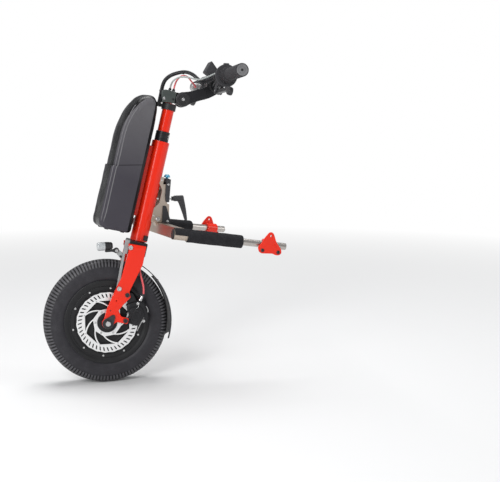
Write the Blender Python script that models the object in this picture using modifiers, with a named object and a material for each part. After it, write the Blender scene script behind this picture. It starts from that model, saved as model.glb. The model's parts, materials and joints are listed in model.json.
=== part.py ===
"""A powered front wheel that docks onto a manual wheelchair.

Metres, +Z up. The user sits behind the wheel and faces -X, so -Y is the user's left.
The model stands on the ground (Z = 0) with the origin below the middle of its box.
"""

import math

import bmesh
import bpy
from mathutils import Vector

# General clearances
GAP = 0.0003
ROUND_STEPS = 24
WHEEL_STEPS = 32

# Head tube and steering
RAKE = math.radians(14.53)
STEER_ANGLE = math.radians(-12.7)
AXLE_OFFSET = -0.038
HEAD_TUBE_RADIUS = 0.0232
HEAD_TUBE_BORE = 0.0205
HEAD_TUBE_BOTTOM = 0.2256
HEAD_TUBE_TOP = 0.497
STEERER_RADIUS = 0.0174
STEERER_BORE = 0.01625
STEERER_TOP = 0.521
BEARING_HEIGHT = 0.010
COLLAR_RADIUS = 0.0187
COLLAR_TOP = 0.524
RAIL_WIDTH = 0.016
RAIL_BOTTOM = 0.290
RAIL_TOP = 0.480

# Wheel
WHEEL_RADIUS = 0.164
TYRE_WIDTH = 0.062
TYRE_WALL = 0.005
BEAD_SEAT = 0.104
RIM_RADIUS = 0.111
RIM_WIDTH = 0.062
RIM_FLANGE = 0.004
DRUM_WALL = 0.013
COVER_RADIUS = 0.095
COVER_THICKNESS = 0.004
AXLE_RADIUS = 0.007
JOURNAL_RADIUS = 0.010
STATOR_SEAT_RADIUS = 0.012
STATOR_WIDTH = 0.036
STATOR_TEETH = 18
STATOR_AIR_GAP = 0.0025
ROTOR_RADIUS = 0.0805
ROTOR_BAND = 0.0185
ROTOR_BORE = 0.0265
ROTOR_HUB = 0.037
ROTOR_THICKNESS = 0.002
ROTOR_FACE = 0.0385
ROTOR_WINDOWS = 8
ROTOR_SWEEP = math.radians(38)

# Fork
FORK_GAP = 0.100
PLATE_THICKNESS = 0.008
DROPOUT_RADIUS = 0.015
CROWN_BOTTOM = 0.188
CROWN_TOP = 0.2246
CROWN_FRONT = -0.028
CROWN_REAR = 0.020
BOLT_RADIUS = 0.0035
BOLT_HEAD = 0.006
CHANNEL_DEPTH = 0.0065
CHANNEL_WIDTH = 0.009

# Brake
PAD_RADIUS = 0.071
PAD_ANGLE = math.radians(30.4)
PAD_LENGTH = 0.024
PAD_HEIGHT = 0.014
PAD_THICKNESS = 0.006
PAD_CLEARANCE = 0.0008
CALIPER_LENGTH = 0.062
CALIPER_INNER = 0.059
CALIPER_OUTER = 0.106
CALIPER_FACE = 0.0615
HOSE_RADIUS = 0.0025

# Mudguard
GUARD_RADIUS = 0.172
GUARD_THICKNESS = 0.0025
GUARD_WIDTH = 0.068
GUARD_START = math.radians(-4)
GUARD_END = math.radians(54)
STAY_END = math.radians(74)
STAY_WIDTH = 0.024

# Headlight
LAMP_Y = -0.045
LAMP_PIVOT = (-0.0569, 0.1907)
LAMP_RADIUS = 0.0110
LAMP_LENGTH = 0.041
LAMP_AIM = math.radians(17)
LENS_THICKNESS = 0.004

# Battery bag
BAG_WIDTH = 0.078
BAG_DEPTH = 0.090
BAG_HEIGHT = 0.366
BAG_WALL = 0.005
BAG_REAR = -0.038
BAG_BOTTOM = 0.241
PACK_HEIGHT = 0.200
PACK_DEPTH = 0.063
CONTROLLER_HEIGHT = 0.085
CONTROLLER_DEPTH = 0.054
CONTROLLER_WIDTH = 0.060

# Docking frame
DOCK_CENTRE = (0.156, 0.404)
DOCK_PITCH = math.radians(8.6)
CROSSBAR_SIZE = 0.030
ARM_SPREAD = math.radians(10)
ARM_HALF_SPAN = 0.1463
ARM_DROP = 0.0014
ARM_TUBE_RADIUS = 0.0138
ARM_TUBE_BORE = 0.0095
ARM_FRONT = -0.0185
ARM_LENGTH = 0.1785
CROSSBAR_WIDTH = 2 * (ARM_HALF_SPAN - ARM_TUBE_RADIUS + 0.0035)
SLEEVE_RADIUS = 0.0172
SLEEVE_START = ARM_FRONT + 0.0005
SLEEVE_SLIT = CROSSBAR_SIZE / 2 + 0.0020
SLEEVE_END = ARM_FRONT + ARM_LENGTH + 0.005
ROD_RADIUS = 0.0092
ROD_START = 0.024
ROD_LENGTH = 0.262
PLATE_FACE = ARM_HALF_SPAN + 0.0572
CLAMP_THICKNESS = 0.006
BOSS_RADIUS = 0.0145
BOSS_LENGTH = 0.034

# Docking bracket and its latch
BRACKET_HALF_WIDTH = 0.017
BRACKET_PLATE = 0.004
PIVOT_POINT = (0.033, 0.293)
PIVOT_RADIUS = 0.004
LUG_RADIUS = 0.0072
LUG_WIDTH = 0.020
CHEEK_THICKNESS = 0.0028
HANDLE_TOP = (0.0405, 0.390)
HANDLE_BOTTOM = (0.0480, 0.343)
HANDLE_WIDTH = 0.0125
HANDLE_WEB = 0.0033
HANDLE_CEILING = 0.0045
HANDLE_CAP = 0.010
BUTTON_RADIUS = 0.0088
BUTTON_STEM_RADIUS = 0.0035
BUTTON_OFFSET = 0.0018
LEVER_HUB_RADIUS = 0.0078
LEVER_HUB_X = 0.1896
LEVER_HUB_Z = 0.4817
LEVER_HUB_LENGTH = 0.034
SPINDLE_RADIUS = 0.003
SPINDLE_LENGTH = 0.024

# Height post, stem and handlebar
POST_RADIUS = 0.0159
POST_BORE = 0.0135
POST_BOTTOM = 0.430
POST_SHOWN = 0.076
POST_TOP = COLLAR_TOP + POST_SHOWN
BLOCK_WIDTH = 0.040
STEM_PIVOT = (0.0299, POST_TOP + 0.0181)
STEM_ANGLE = math.radians(35.2)
STEM_LENGTH = 0.0913
STEM_DRUM_RADIUS = 0.0195
STEM_LUG_WIDTH = 0.019
STEM_WIDTH = 0.040
BAR_RADIUS = 0.0111
BAR_CLAMP_RADIUS = 0.0159
BAR_CLAMP_WIDTH = 0.044
BAR_HALF_LENGTH = 0.300
BAR_CENTRE_STRAIGHT = 0.035
BAR_BEND_END = 0.095
BAR_RISE = 0.021
BAR_END_RISE = 0.0022
BAR_SWEEP = 0.0035
GRIP_RADIUS = 0.0165
THROTTLE_RADIUS = 0.0205
FLANGE_RADIUS = 0.029
LEVER_DROP = 0.0405
LEVER_REACH = 0.148
LEVER_THICKNESS = 0.012
DISPLAY_RING_Y = -0.029
DISPLAY_Y = -0.043
DISPLAY_WIDTH = 0.044

WHITE = (0.83, 0.83, 0.82, 1)
RED = (0.80, 0.045, 0.012, 1)
BLACK = (0.012, 0.012, 0.013, 1)
DARK_GREY = (0.05, 0.05, 0.055, 1)
GREY = (0.28, 0.28, 0.29, 1)
SILVER = (0.62, 0.62, 0.63, 1)
BEIGE = (0.42, 0.37, 0.32, 1)
BLUE = (0.05, 0.42, 0.62, 1)


def remove_everything():
    for item in list(bpy.data.objects):
        bpy.data.objects.remove(item, do_unlink=True)


def new_collection(name):
    collection = bpy.data.collections.new(name)
    bpy.context.scene.collection.children.link(collection)
    return collection


def frame(name, parent, location=(0, 0, 0), rotation=(0, 0, 0)):
    """An empty that carries the pieces of one body and lies on its joint."""
    empty = bpy.data.objects.new(name, None)
    empty.empty_display_size = 0.03
    empty.parent = parent
    empty.location = location
    empty.rotation_euler = rotation
    parts.objects.link(empty)
    return empty


def finish(item, colour, roughness=0.5, metallic=0.0):
    """Give a piece its own material."""
    material = bpy.data.materials.new(item.name)
    material.use_nodes = True
    shader = material.node_tree.nodes["Principled BSDF"]
    shader.inputs["Base Color"].default_value = colour
    shader.inputs["Roughness"].default_value = roughness
    shader.inputs["Metallic"].default_value = metallic
    item.data.materials.clear()
    item.data.materials.append(material)
    material.diffuse_color = colour
    return item


def link_mesh(name, mesh, parent, location=(0, 0, 0), rotation=(0, 0, 0)):
    item = bpy.data.objects.new(name, mesh)
    parts.objects.link(item)
    item.parent = parent
    item.location = location
    item.rotation_euler = rotation
    return item


def box(name, parent, size, centre, rotation=(0, 0, 0), bevel=0.0):
    """A box with its edges broken by a bevel."""
    mesh = bpy.data.meshes.new(name)
    shape = bmesh.new()
    bmesh.ops.create_cube(shape, size=1)
    bmesh.ops.scale(shape, vec=size, verts=shape.verts)
    shape.to_mesh(mesh)
    shape.free()
    item = link_mesh(name, mesh, parent, centre, rotation)
    if bevel:
        round_edges(item, bevel)
    return item


def round_edges(item, width, segments=1):
    bevel = item.modifiers.new("Rounded edges", "BEVEL")
    bevel.width = width
    bevel.segments = segments
    bevel.limit_method = "ANGLE"
    bevel.angle_limit = math.radians(40)


ALONG_X = (0, math.radians(90), 0)
ALONG_Y = (math.radians(-90), 0, 0)
ALONG_Z = (0, 0, 0)


def cylinder(name, parent, radius, length, centre, rotation=ALONG_Z, steps=20):
    mesh = bpy.data.meshes.new(name)
    shape = bmesh.new()
    bmesh.ops.create_cone(shape, cap_ends=True, segments=steps,
                          radius1=radius, radius2=radius, depth=length)
    shape.to_mesh(mesh)
    shape.free()
    item = link_mesh(name, mesh, parent, centre, rotation)
    shade_round(item)
    return item


def shade_round(item):
    item.data.shade_smooth()
    item.data.set_sharp_from_angle(angle=math.radians(35))


def turned(name, parent, profile, centre=(0, 0, 0), rotation=ALONG_Z,
           steps=ROUND_STEPS, closed=True):
    """Turn a profile of (radius, height) points, drawn top to bottom on its outer side."""
    mesh = bpy.data.meshes.new(name)
    shape = bmesh.new()
    points = [shape.verts.new((radius, 0, height)) for radius, height in profile]
    for first, second in zip(points, points[1:]):
        shape.edges.new((first, second))
    if closed:
        shape.edges.new((points[-1], points[0]))
    shape.to_mesh(mesh)
    shape.free()
    item = link_mesh(name, mesh, parent, centre, rotation)
    screw = item.modifiers.new("Turned", "SCREW")
    screw.steps = steps
    screw.render_steps = steps
    screw.use_merge_vertices = True
    screw.merge_threshold = 0.00001
    screw.use_smooth_shade = True
    return item


def mesh_of_curve(item, name):
    """Replace a curve by a closed mesh in the same place."""
    bpy.context.view_layer.update()
    graph = bpy.context.evaluated_depsgraph_get()
    mesh = bpy.data.meshes.new_from_object(item.evaluated_get(graph))
    shape = bmesh.new()
    shape.from_mesh(mesh)
    bmesh.ops.remove_doubles(shape, verts=shape.verts, dist=0.000005)
    bmesh.ops.recalc_face_normals(shape, faces=shape.faces)
    shape.to_mesh(mesh)
    shape.free()
    parent = item.parent
    location = item.location.copy()
    rotation = item.rotation_euler.copy()
    bpy.data.objects.remove(item, do_unlink=True)
    return link_mesh(name, mesh, parent, location, rotation)


# A flat outline is drawn in its own X and Y; these turns stand it up
FACING_Y = (math.radians(90), 0, 0)
FACING_X = (math.radians(90), 0, math.radians(90))


def flat(name, parent, outlines, thickness, centre=(0, 0, 0), rotation=FACING_Y, bevel=0.0):
    """A plate cut from a flat outline; the outlines after the first are its holes."""
    curve = bpy.data.curves.new(name, "CURVE")
    curve.dimensions = "2D"
    curve.fill_mode = "BOTH"
    curve.extrude = thickness / 2
    for outline in outlines:
        spline = curve.splines.new("POLY")
        spline.points.add(len(outline) - 1)
        for point, (across, up) in zip(spline.points, outline):
            point.co = (across, up, 0, 1)
        spline.use_cyclic_u = True
    item = bpy.data.objects.new(name, curve)
    parts.objects.link(item)
    item.parent = parent
    item.location = centre
    item.rotation_euler = rotation
    solid = mesh_of_curve(item, name)
    if bevel:
        round_edges(solid, bevel)
    return solid


def tube(name, parent, points, radius, resolution=2):
    """A round cord or bent tube along a route."""
    curve = bpy.data.curves.new(name, "CURVE")
    curve.dimensions = "3D"
    curve.bevel_depth = radius
    curve.bevel_resolution = resolution
    curve.use_fill_caps = True
    spline = curve.splines.new("POLY")
    spline.points.add(len(points) - 1)
    for point, place in zip(spline.points, points):
        point.co = (place[0], place[1], place[2], 1)
    item = bpy.data.objects.new(name, curve)
    parts.objects.link(item)
    item.parent = parent
    solid = mesh_of_curve(item, name)
    shade_round(solid)
    return solid


def smooth_route(points, spacing):
    """Points read from a smooth curve through a route's own points."""
    route = [Vector(point) for point in points]
    ends = [2 * route[0] - route[1]] + route + [2 * route[-1] - route[-2]]
    places = []
    for a, b, c, d in zip(ends, ends[1:], ends[2:], ends[3:]):
        count = max(2, round((c - b).length / spacing))
        for step in range(count):
            t = step / count
            places.append(0.5 * (2 * b + (c - a) * t + (2 * a - 5 * b + 4 * c - d) * t * t
                                 + (3 * b - a - 3 * c + d) * t ** 3))
    places.append(route[-1])
    return places


def combine(item, tool, operation):
    """Join a tool to a piece, or cut it away, and keep the tool as a hidden guide."""
    modifier = item.modifiers.new(tool.name, "BOOLEAN")
    modifier.operation = operation
    modifier.solver = "EXACT"
    modifier.object = tool
    parts.objects.unlink(tool)
    cutters.objects.link(tool)
    tool.hide_render = True
    tool.display_type = "WIRE"
    return item


def join(item, *tools):
    for tool in tools:
        combine(item, tool, "UNION")
    return item


def cut(item, *tools):
    for tool in tools:
        combine(item, tool, "DIFFERENCE")
    return item


def arc(centre, radius, start, end, count):
    """Points on an arc, from one angle to another."""
    angles = [start + (end - start) * step / (count - 1) for step in range(count)]
    return [(centre[0] + radius * math.cos(angle), centre[1] + radius * math.sin(angle))
            for angle in angles]


def circle(centre, radius, count=16):
    return arc(centre, radius, 0, 2 * math.pi * (count - 1) / count, count)


def ring_profile(inner, outer, bottom, top):
    return [(inner, top), (outer, top), (outer, bottom), (inner, bottom)]


def turn(point, angle):
    """A point (x, z) turned about Y, as an empty's Y rotation turns it."""
    x, z = point
    return (x * math.cos(angle) + z * math.sin(angle),
            z * math.cos(angle) - x * math.sin(angle))


def tyre_profile():
    """A tyre's section: heights over the bead seat, and half widths."""
    height = WHEEL_RADIUS - BEAD_SEAT - GAP
    half = TYRE_WIDTH / 2
    bead_outer = RIM_WIDTH / 2 - RIM_FLANGE - GAP
    bead_inner = bead_outer - TYRE_WALL
    rim_lip = RIM_RADIUS - BEAD_SEAT + 2 * GAP
    shoulder = [(0.46, 1.0), (0.70, 0.95), (0.90, 0.72)]
    outer = [(0, bead_outer), (rim_lip, bead_outer), (rim_lip + 0.006, half - 0.001)]
    outer += [(height * share, half * width) for share, width in shoulder]
    inner = [(0, bead_inner), (rim_lip + 0.003, bead_inner + 0.002)]
    inner += [(height * share, half * width - TYRE_WALL) for share, width in shoulder[:2]]
    inner += [(height * 0.90 - TYRE_WALL * 0.8, half * 0.5)]
    base = BEAD_SEAT + GAP
    left = [(base + rise, width) for rise, width in outer]
    left += [(WHEEL_RADIUS, 0)]
    left += [(base + rise, -width) for rise, width in reversed(outer)]
    back = [(base + rise, -width) for rise, width in inner]
    back += [(WHEEL_RADIUS - TYRE_WALL, 0)]
    back += [(base + rise, width) for rise, width in reversed(inner)]
    return left + back


def make_wheel(steer):
    """The hub motor with its rim, tyre and brake rotor, turning about its axle."""
    wheel = frame("wheel_axis", steer, (AXLE_OFFSET, 0, 0))
    tyre = turned("tyre", wheel, tyre_profile(), rotation=ALONG_Y, steps=WHEEL_STEPS)
    finish(tyre, BLACK, 0.75)

    bore = JOURNAL_RADIUS + GAP
    half = RIM_WIDTH / 2
    wall = half - RIM_FLANGE
    drum_bore = BEAD_SEAT - DRUM_WALL
    recess = COVER_RADIUS + GAP
    shell = [(bore, half), (RIM_RADIUS, half),
             (RIM_RADIUS, wall), (BEAD_SEAT, wall), (BEAD_SEAT, -wall), (RIM_RADIUS, -wall),
             (RIM_RADIUS, -half), (recess, -half), (recess, -half + COVER_THICKNESS + GAP),
             (drum_bore, -half + COVER_THICKNESS + GAP), (drum_bore, half - 0.005),
             (bore, half - 0.005)]
    hub = turned("hub_shell", wheel, shell, rotation=ALONG_Y, steps=WHEEL_STEPS)
    finish(hub, BLACK, 0.4, 0.3)

    cover_inner = -half + COVER_THICKNESS
    seat = -ROTOR_FACE + GAP
    spigot = ROTOR_BORE - GAP
    nose = -ROTOR_FACE - ROTOR_THICKNESS - 0.003
    cover = [(bore, cover_inner), (COVER_RADIUS, cover_inner), (COVER_RADIUS, -half), (0.034, -half),
             (0.034, seat), (spigot, seat), (spigot, nose), (bore, nose)]
    lid = turned("motor_cover", wheel, cover, rotation=ALONG_Y, steps=WHEEL_STEPS)
    finish(lid, DARK_GREY, 0.4, 0.3)

    make_rotor(wheel)


def make_rotor(wheel):
    """A disc with swept windows between its hub ring and its brake band."""
    inner = ROTOR_HUB
    outer = ROTOR_RADIUS - ROTOR_BAND
    spacing = 2 * math.pi / ROTOR_WINDOWS
    outlines = [circle((0, 0), ROTOR_RADIUS, 48), circle((0, 0), ROTOR_BORE, 24)]
    for index in range(ROTOR_WINDOWS):
        start = index * spacing
        first = []
        second = []
        for step in range(5):
            share = step / 4
            radius = inner + (outer - inner) * share
            sweep = start + ROTOR_SWEEP * share
            spoke = 0.0042 / radius
            first.append((radius, sweep + spoke))
            second.append((radius, sweep + spacing - spoke * (1 + share)))
        corners = first + second[::-1]
        outlines.append([(radius * math.cos(angle), radius * math.sin(angle))
                         for radius, angle in corners])
    centre = (0, -ROTOR_FACE - ROTOR_THICKNESS / 2, 0)
    finish(flat("brake_rotor", wheel, outlines, ROTOR_THICKNESS, centre), SILVER, 0.3, 1.0)


def make_axle(steer):
    """The fixed axle, the stator on it and the caps outside the fork plates."""
    inner = FORK_GAP / 2 - GAP
    outer = FORK_GAP / 2 + PLATE_THICKNESS
    end = outer + 0.010
    seat = STATOR_WIDTH / 2 + 0.002
    profile = [(0, end), (AXLE_RADIUS, end), (AXLE_RADIUS, inner), (JOURNAL_RADIUS, inner),
               (JOURNAL_RADIUS, seat), (STATOR_SEAT_RADIUS, seat), (STATOR_SEAT_RADIUS, -seat),
               (JOURNAL_RADIUS, -seat), (JOURNAL_RADIUS, -inner), (AXLE_RADIUS, -inner),
               (AXLE_RADIUS, -end), (0, -end)]
    place = (AXLE_OFFSET, 0, 0)
    finish(turned("axle", steer, profile, place, ALONG_Y, 20, closed=False), SILVER, 0.3, 1.0)

    rim = BEAD_SEAT - DRUM_WALL - STATOR_AIR_GAP
    teeth = []
    for index in range(STATOR_TEETH):
        for radius, share in ((rim, 0.08), (rim, 0.92), (rim - 0.022, 0.72), (rim - 0.022, 1.28)):
            angle = 2 * math.pi * (index + share) / STATOR_TEETH
            teeth.append((radius * math.cos(angle), radius * math.sin(angle)))
    bore = circle((0, 0), STATOR_SEAT_RADIUS + GAP, 24)
    stator = flat("stator", steer, [teeth, bore], STATOR_WIDTH, place)
    finish(stator, (0.35, 0.16, 0.06, 1), 0.4, 0.8)

    washer = 0.004
    for side, name in ((-1, "axle_cap_left"), (1, "axle_cap_right")):
        teardrop = arc((0, 0), 0.0145, math.radians(60), math.radians(300), 13)
        teardrop += [(0.026, -0.004), (0.028, 0), (0.026, 0.004)]
        middle = outer + GAP + washer / 2
        cap = flat(name, steer, [teardrop, circle((0, 0), AXLE_RADIUS + GAP)], washer,
                   (AXLE_OFFSET, side * middle, 0), (math.radians(90), math.radians(-65), 0))
        nut = turned(name + "_nut", steer,
                     ring_profile(AXLE_RADIUS + 2 * GAP, 0.0105, -0.003, 0.003),
                     (AXLE_OFFSET, side * (middle + 0.004), 0), ALONG_Y, 20)
        join(cap, nut)
        finish(cap, DARK_GREY, 0.4, 0.6)


def fork_outline(with_tabs):
    """A fork plate seen from its side, from the crown down to the dropout."""
    rear = [(-0.032, CROWN_TOP - 0.0086), (0.016, CROWN_TOP - 0.0066), (0.0173, 0.169),
            (0.0139, 0.1554), (-0.0014, 0.0929)]
    if with_tabs:
        rear += [(0.0055, 0.079), (-0.0096, 0.0555), (-0.0185, 0.0381), (-0.0079, 0.0245),
                 (0.013, 0.0235), (0.0127, 0.008), (-0.0169, 0.008)]
    else:
        rear += [(-0.010, 0.055), (-0.018, 0.030)]
    around = arc((AXLE_OFFSET, 0), DROPOUT_RADIUS, 0, math.radians(-215), 12)
    front = [(-0.0489, 0.0371), (-0.0395, 0.0852), (-0.0302, 0.1231), (-0.0267, 0.1984)]
    return rear + around + front


CROWN_BOLT = (-0.024, 0.2065)
CHANNEL_BOLT = (-0.0295, 0.095)
CALIPER_BOLTS = [(0.005, 0.016), (-0.005, 0.083)]


def bolt(name, parent, place, side, start, head=BOLT_HEAD):
    """A bolt that passes through a fork plate, with its head outside."""
    face = FORK_GAP / 2 + PLATE_THICKNESS + GAP
    length = face - start + 0.001
    shank = cylinder(name, parent, BOLT_RADIUS, length,
                     (place[0], side * (start + length / 2), place[1]), ALONG_Y, 12)
    cap = cylinder(name + "_head", parent, head, 0.0035,
                   (place[0], side * (face + 0.00175), place[1]), ALONG_Y, 16)
    return shank, cap


def make_fork(steer):
    """The crown with its steerer tube, the two legs and the collar on top."""
    inner = FORK_GAP / 2 - GAP
    depth = CROWN_REAR - CROWN_FRONT
    middle = ((CROWN_REAR + CROWN_FRONT) / 2, 0, (CROWN_BOTTOM + CROWN_TOP) / 2)
    crown = box("fork_crown", steer, (depth, 2 * inner, CROWN_TOP - CROWN_BOTTOM), middle,
                bevel=0.002)
    foot = CROWN_TOP - 0.002
    join(crown, cylinder("steerer_tube", steer, STEERER_RADIUS, STEERER_TOP - foot,
                         (0, 0, (STEERER_TOP + foot) / 2), steps=ROUND_STEPS))
    for side in (-1, 1):
        shank, head = bolt(f"crown_bolt_{side}", steer, CROWN_BOLT, side, inner - 0.004)
        join(crown, shank, head)
    cut(crown, cylinder("steerer_bore", steer, STEERER_BORE, STEERER_TOP - CROWN_BOTTOM + 0.02,
                        (0, 0, (STEERER_TOP + CROWN_BOTTOM) / 2), steps=ROUND_STEPS))
    finish(crown, BLACK, 0.4, 0.4)

    hole = BOLT_RADIUS + GAP
    for side, name in ((-1, "fork_plate_left"), (1, "fork_plate_right")):
        holes = [circle((AXLE_OFFSET, 0), AXLE_RADIUS + GAP, 20), circle(CROWN_BOLT, hole, 12)]
        if side < 0:
            holes += [circle(CHANNEL_BOLT, hole, 12)]
            holes += [circle(place, hole, 12) for place in CALIPER_BOLTS]
        plate = flat(name, steer, [fork_outline(side < 0)] + holes, PLATE_THICKNESS,
                     (0, side * (FORK_GAP + PLATE_THICKNESS) / 2, 0))
        finish(plate, RED, 0.3, 0.1)

    collar = [(STEERER_RADIUS + GAP, HEAD_TUBE_TOP + GAP), (STEERER_RADIUS + GAP, STEERER_TOP + GAP),
              (POST_RADIUS + GAP, STEERER_TOP + GAP), (POST_RADIUS + GAP, COLLAR_TOP),
              (COLLAR_RADIUS - 0.001, COLLAR_TOP), (COLLAR_RADIUS, COLLAR_TOP - 0.001),
              (COLLAR_RADIUS, HEAD_TUBE_TOP + GAP)]
    finish(turned("height_collar", steer, collar), BLACK, 0.4, 0.3)


def make_channel(steer):
    """The grey strip in front of the left leg, with the ear that holds the lamp."""
    inner = FORK_GAP / 2 - GAP
    top = CROWN_TOP
    foot = 0.0885
    outline = [(-0.040, top), (-0.0389, 0.165), (-0.0355, foot + 0.008), (-0.034, foot),
               (-0.024, foot), (-0.024, foot + 0.013), (-0.0345 + 0.005, foot + 0.013),
               (-0.0389 + CHANNEL_DEPTH, 0.165), (-0.040 + CHANNEL_DEPTH, CROWN_BOTTOM),
               (CROWN_FRONT - GAP, CROWN_BOTTOM), (CROWN_FRONT - GAP, top)]
    strip = flat("cable_channel", steer, [outline], CHANNEL_WIDTH,
                 (0, -(inner - CHANNEL_WIDTH / 2), 0))
    shank, head = bolt("channel_bolt", steer, CHANNEL_BOLT, -1, inner - 0.003)
    pivot_x, pivot_z = LAMP_PIVOT
    arm = [(-0.036, 0.170), (-0.036, 0.186), (pivot_x + 0.002, pivot_z + 0.006)]
    arm += arc(LAMP_PIVOT, 0.0065, math.radians(90), math.radians(270), 8)
    bracket_y = LAMP_Y + 0.0015
    bracket = flat("lamp_bracket", steer, [arm, circle(LAMP_PIVOT, 0.0023, 10)], 0.003,
                   (0, bracket_y, 0))
    join(strip, shank, head, bracket)
    finish(strip, GREY, 0.4, 0.8)


def make_headlight(steer):
    """A small lamp that tilts on the ear of the channel."""
    pivot = frame("headlight_axis", steer, (LAMP_PIVOT[0], LAMP_Y, LAMP_PIVOT[1]))
    aim = (0, math.radians(-90) - LAMP_AIM, 0)
    rear = Vector((-0.0126, 0, 0.0107))
    length = LAMP_LENGTH
    radius = LAMP_RADIUS
    housing = [(0, length - 0.003), (radius - 0.002, length - 0.003), (radius - 0.002, length),
               (radius, length), (radius + 0.0005, length - 0.012), (radius - 0.0015, 0.004),
               (radius - 0.005, 0), (0, 0)]
    lamp = turned("headlight", pivot, housing, rear, aim, 20, closed=False)
    foot = box("lamp_foot", pivot, (0.014, 0.0035, 0.016), (-0.0062, -0.0022, 0.002))
    ear = cylinder("lamp_ear", pivot, 0.0065, 0.0035, (0, -0.0022, 0), ALONG_Y, 16)
    pin = cylinder("lamp_pin", pivot, 0.002, 0.009, (0, 0.001, 0), ALONG_Y, 10)
    knob = cylinder("lamp_knob", pivot, 0.0075, 0.004, (0, 0.0055, 0), ALONG_Y, 16)
    join(lamp, foot, ear, pin, knob)
    finish(lamp, BLACK, 0.45)
    lens = [(0, length + 0.001), (radius * 0.55, length), (radius - 0.0024, length - 0.0024 + 0.0005),
            (radius - 0.0024, length - 0.003 + GAP), (0, length - 0.003 + GAP)]
    finish(turned("headlight_lens", pivot, lens, rear, aim, 20, closed=False), WHITE, 0.05)


def make_mudguard(steer):
    """A curved guard behind the wheel, with the stay that runs up to the crown."""
    centre = (AXLE_OFFSET, 0)
    thick = GUARD_THICKNESS
    outline = arc(centre, GUARD_RADIUS + thick, GUARD_START, GUARD_END, 14)
    outline += arc(centre, GUARD_RADIUS, GUARD_END, GUARD_START, 14)
    guard = flat("mudguard", steer, [outline], GUARD_WIDTH)
    stay = arc(centre, GUARD_RADIUS + thick - GAP, GUARD_END - 0.1, STAY_END, 6)
    top = CROWN_BOTTOM - GAP
    stay += [(0.014, top - thick), (0.016, top - thick + 0.0005), (0.016, top), (-0.012, top),
             (-0.012, top - thick + 0.0005), (0.0035, top - thick)]
    stay += arc(centre, GUARD_RADIUS + GAP, STAY_END + 0.012, GUARD_END - 0.1, 6)
    join(guard, flat("guard_stay", steer, [stay], STAY_WIDTH))
    finish(guard, BLACK, 0.5)


def make_caliper(steer):
    """The disc brake caliper, its moving pad and its hose."""
    along = Vector((math.cos(PAD_ANGLE), 0, math.sin(PAD_ANGLE)))
    axle = Vector((AXLE_OFFSET, 0, 0))
    tilt = (0, -PAD_ANGLE, 0)
    middle = (CALIPER_INNER + CALIPER_OUTER) / 2
    depth = CALIPER_OUTER - CALIPER_INNER
    rotor_outer = ROTOR_FACE + ROTOR_THICKNESS
    outer_wall = rotor_outer + PAD_CLEARANCE - GAP
    inner_wall = RIM_WIDTH / 2 + 0.0012

    def spot(radius, side_y):
        place = axle + along * radius
        return (place.x, side_y, place.z)

    body = box("brake_caliper", steer, (depth, CALIPER_FACE - outer_wall, CALIPER_LENGTH),
               spot(middle, -(CALIPER_FACE + outer_wall) / 2), tilt, bevel=0.005)
    bridge_start = ROTOR_RADIUS + 0.002
    bridge_depth = CALIPER_OUTER - 0.001 - bridge_start
    bridge_side = inner_wall + 0.0006
    bridge = box("caliper_bridge", steer, (bridge_depth, 0.046 - bridge_side, CALIPER_LENGTH - 0.012),
                 spot(bridge_start + bridge_depth / 2, -(0.046 + bridge_side) / 2), tilt)
    inner_thickness = ROTOR_FACE - GAP - inner_wall
    inner_depth = CALIPER_OUTER - 0.002 - CALIPER_INNER
    inner_half = box("caliper_inner", steer, (inner_depth, inner_thickness, CALIPER_LENGTH - 0.014),
                     spot(CALIPER_INNER + inner_depth / 2, -(inner_wall + inner_thickness / 2)), tilt)
    lower, upper = CALIPER_BOLTS
    ear_y = FORK_GAP / 2 - GAP
    low_ear = flat("caliper_ear_low", steer,
                   [[(lower[0] - 0.007, lower[1] - 0.006), (0.032, 0.008), (0.032, 0.024),
                     (lower[0] - 0.007, lower[1] + 0.006)]], 0.006, (0, -(ear_y - 0.003), 0))
    high_ear = flat("caliper_ear_high", steer,
                    [[(upper[0] - 0.007, upper[1] - 0.006), (0.010, 0.052), (0.030, 0.064),
                      (0.010, 0.090), (upper[0] - 0.007, upper[1] + 0.007)]], 0.006,
                    (0, -(ear_y - 0.003), 0))
    gland_lean = math.radians(14)
    gland_way = Vector((math.sin(gland_lean), 0, math.cos(gland_lean)))
    gland_middle = Vector((0.0335, -0.048, 0.0795))
    gland_length = 0.016
    gland = cylinder("caliper_gland", steer, 0.0045, gland_length, gland_middle,
                     (0, gland_lean, 0), 16)
    join(body, bridge, inner_half, low_ear, high_ear, gland)
    for index, place in enumerate(CALIPER_BOLTS):
        shank, head = bolt(f"caliper_bolt_{index}", steer, place, -1, ear_y - 0.003)
        join(body, shank, head)
    pocket_depth = PAD_THICKNESS + PAD_CLEARANCE + 0.004
    pocket = box("pad_pocket", steer,
                 (PAD_HEIGHT + 2 * GAP, pocket_depth, PAD_LENGTH + 2 * GAP),
                 spot(PAD_RADIUS, -(outer_wall - 0.002 + pocket_depth / 2)), tilt)
    cut(body, pocket)
    finish(body, BLACK, 0.4, 0.3)

    pad_face = rotor_outer + PAD_CLEARANCE
    pad = box("brake_pad", steer, (PAD_HEIGHT, PAD_THICKNESS, PAD_LENGTH),
              spot(PAD_RADIUS, -(pad_face + PAD_THICKNESS / 2)), tilt)
    finish(pad, (0.2, 0.13, 0.08, 1), 0.7)

    gland_mouth = gland_middle + gland_way * (gland_length / 2 + GAP)
    route = [gland_mouth, gland_mouth + gland_way * 0.004, gland_mouth + gland_way * 0.008,
             (0.0325, -0.044, 0.115),
             (0.0160, -0.042, 0.150), (0.0130, -0.040, 0.172), (0.0110, -0.036, 0.1815),
             (0.0105, -0.036, CROWN_BOTTOM - GAP)]
    finish(tube("caliper_hose", steer, smooth_route(route, 0.011), HOSE_RADIUS), RED, 0.4)


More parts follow.
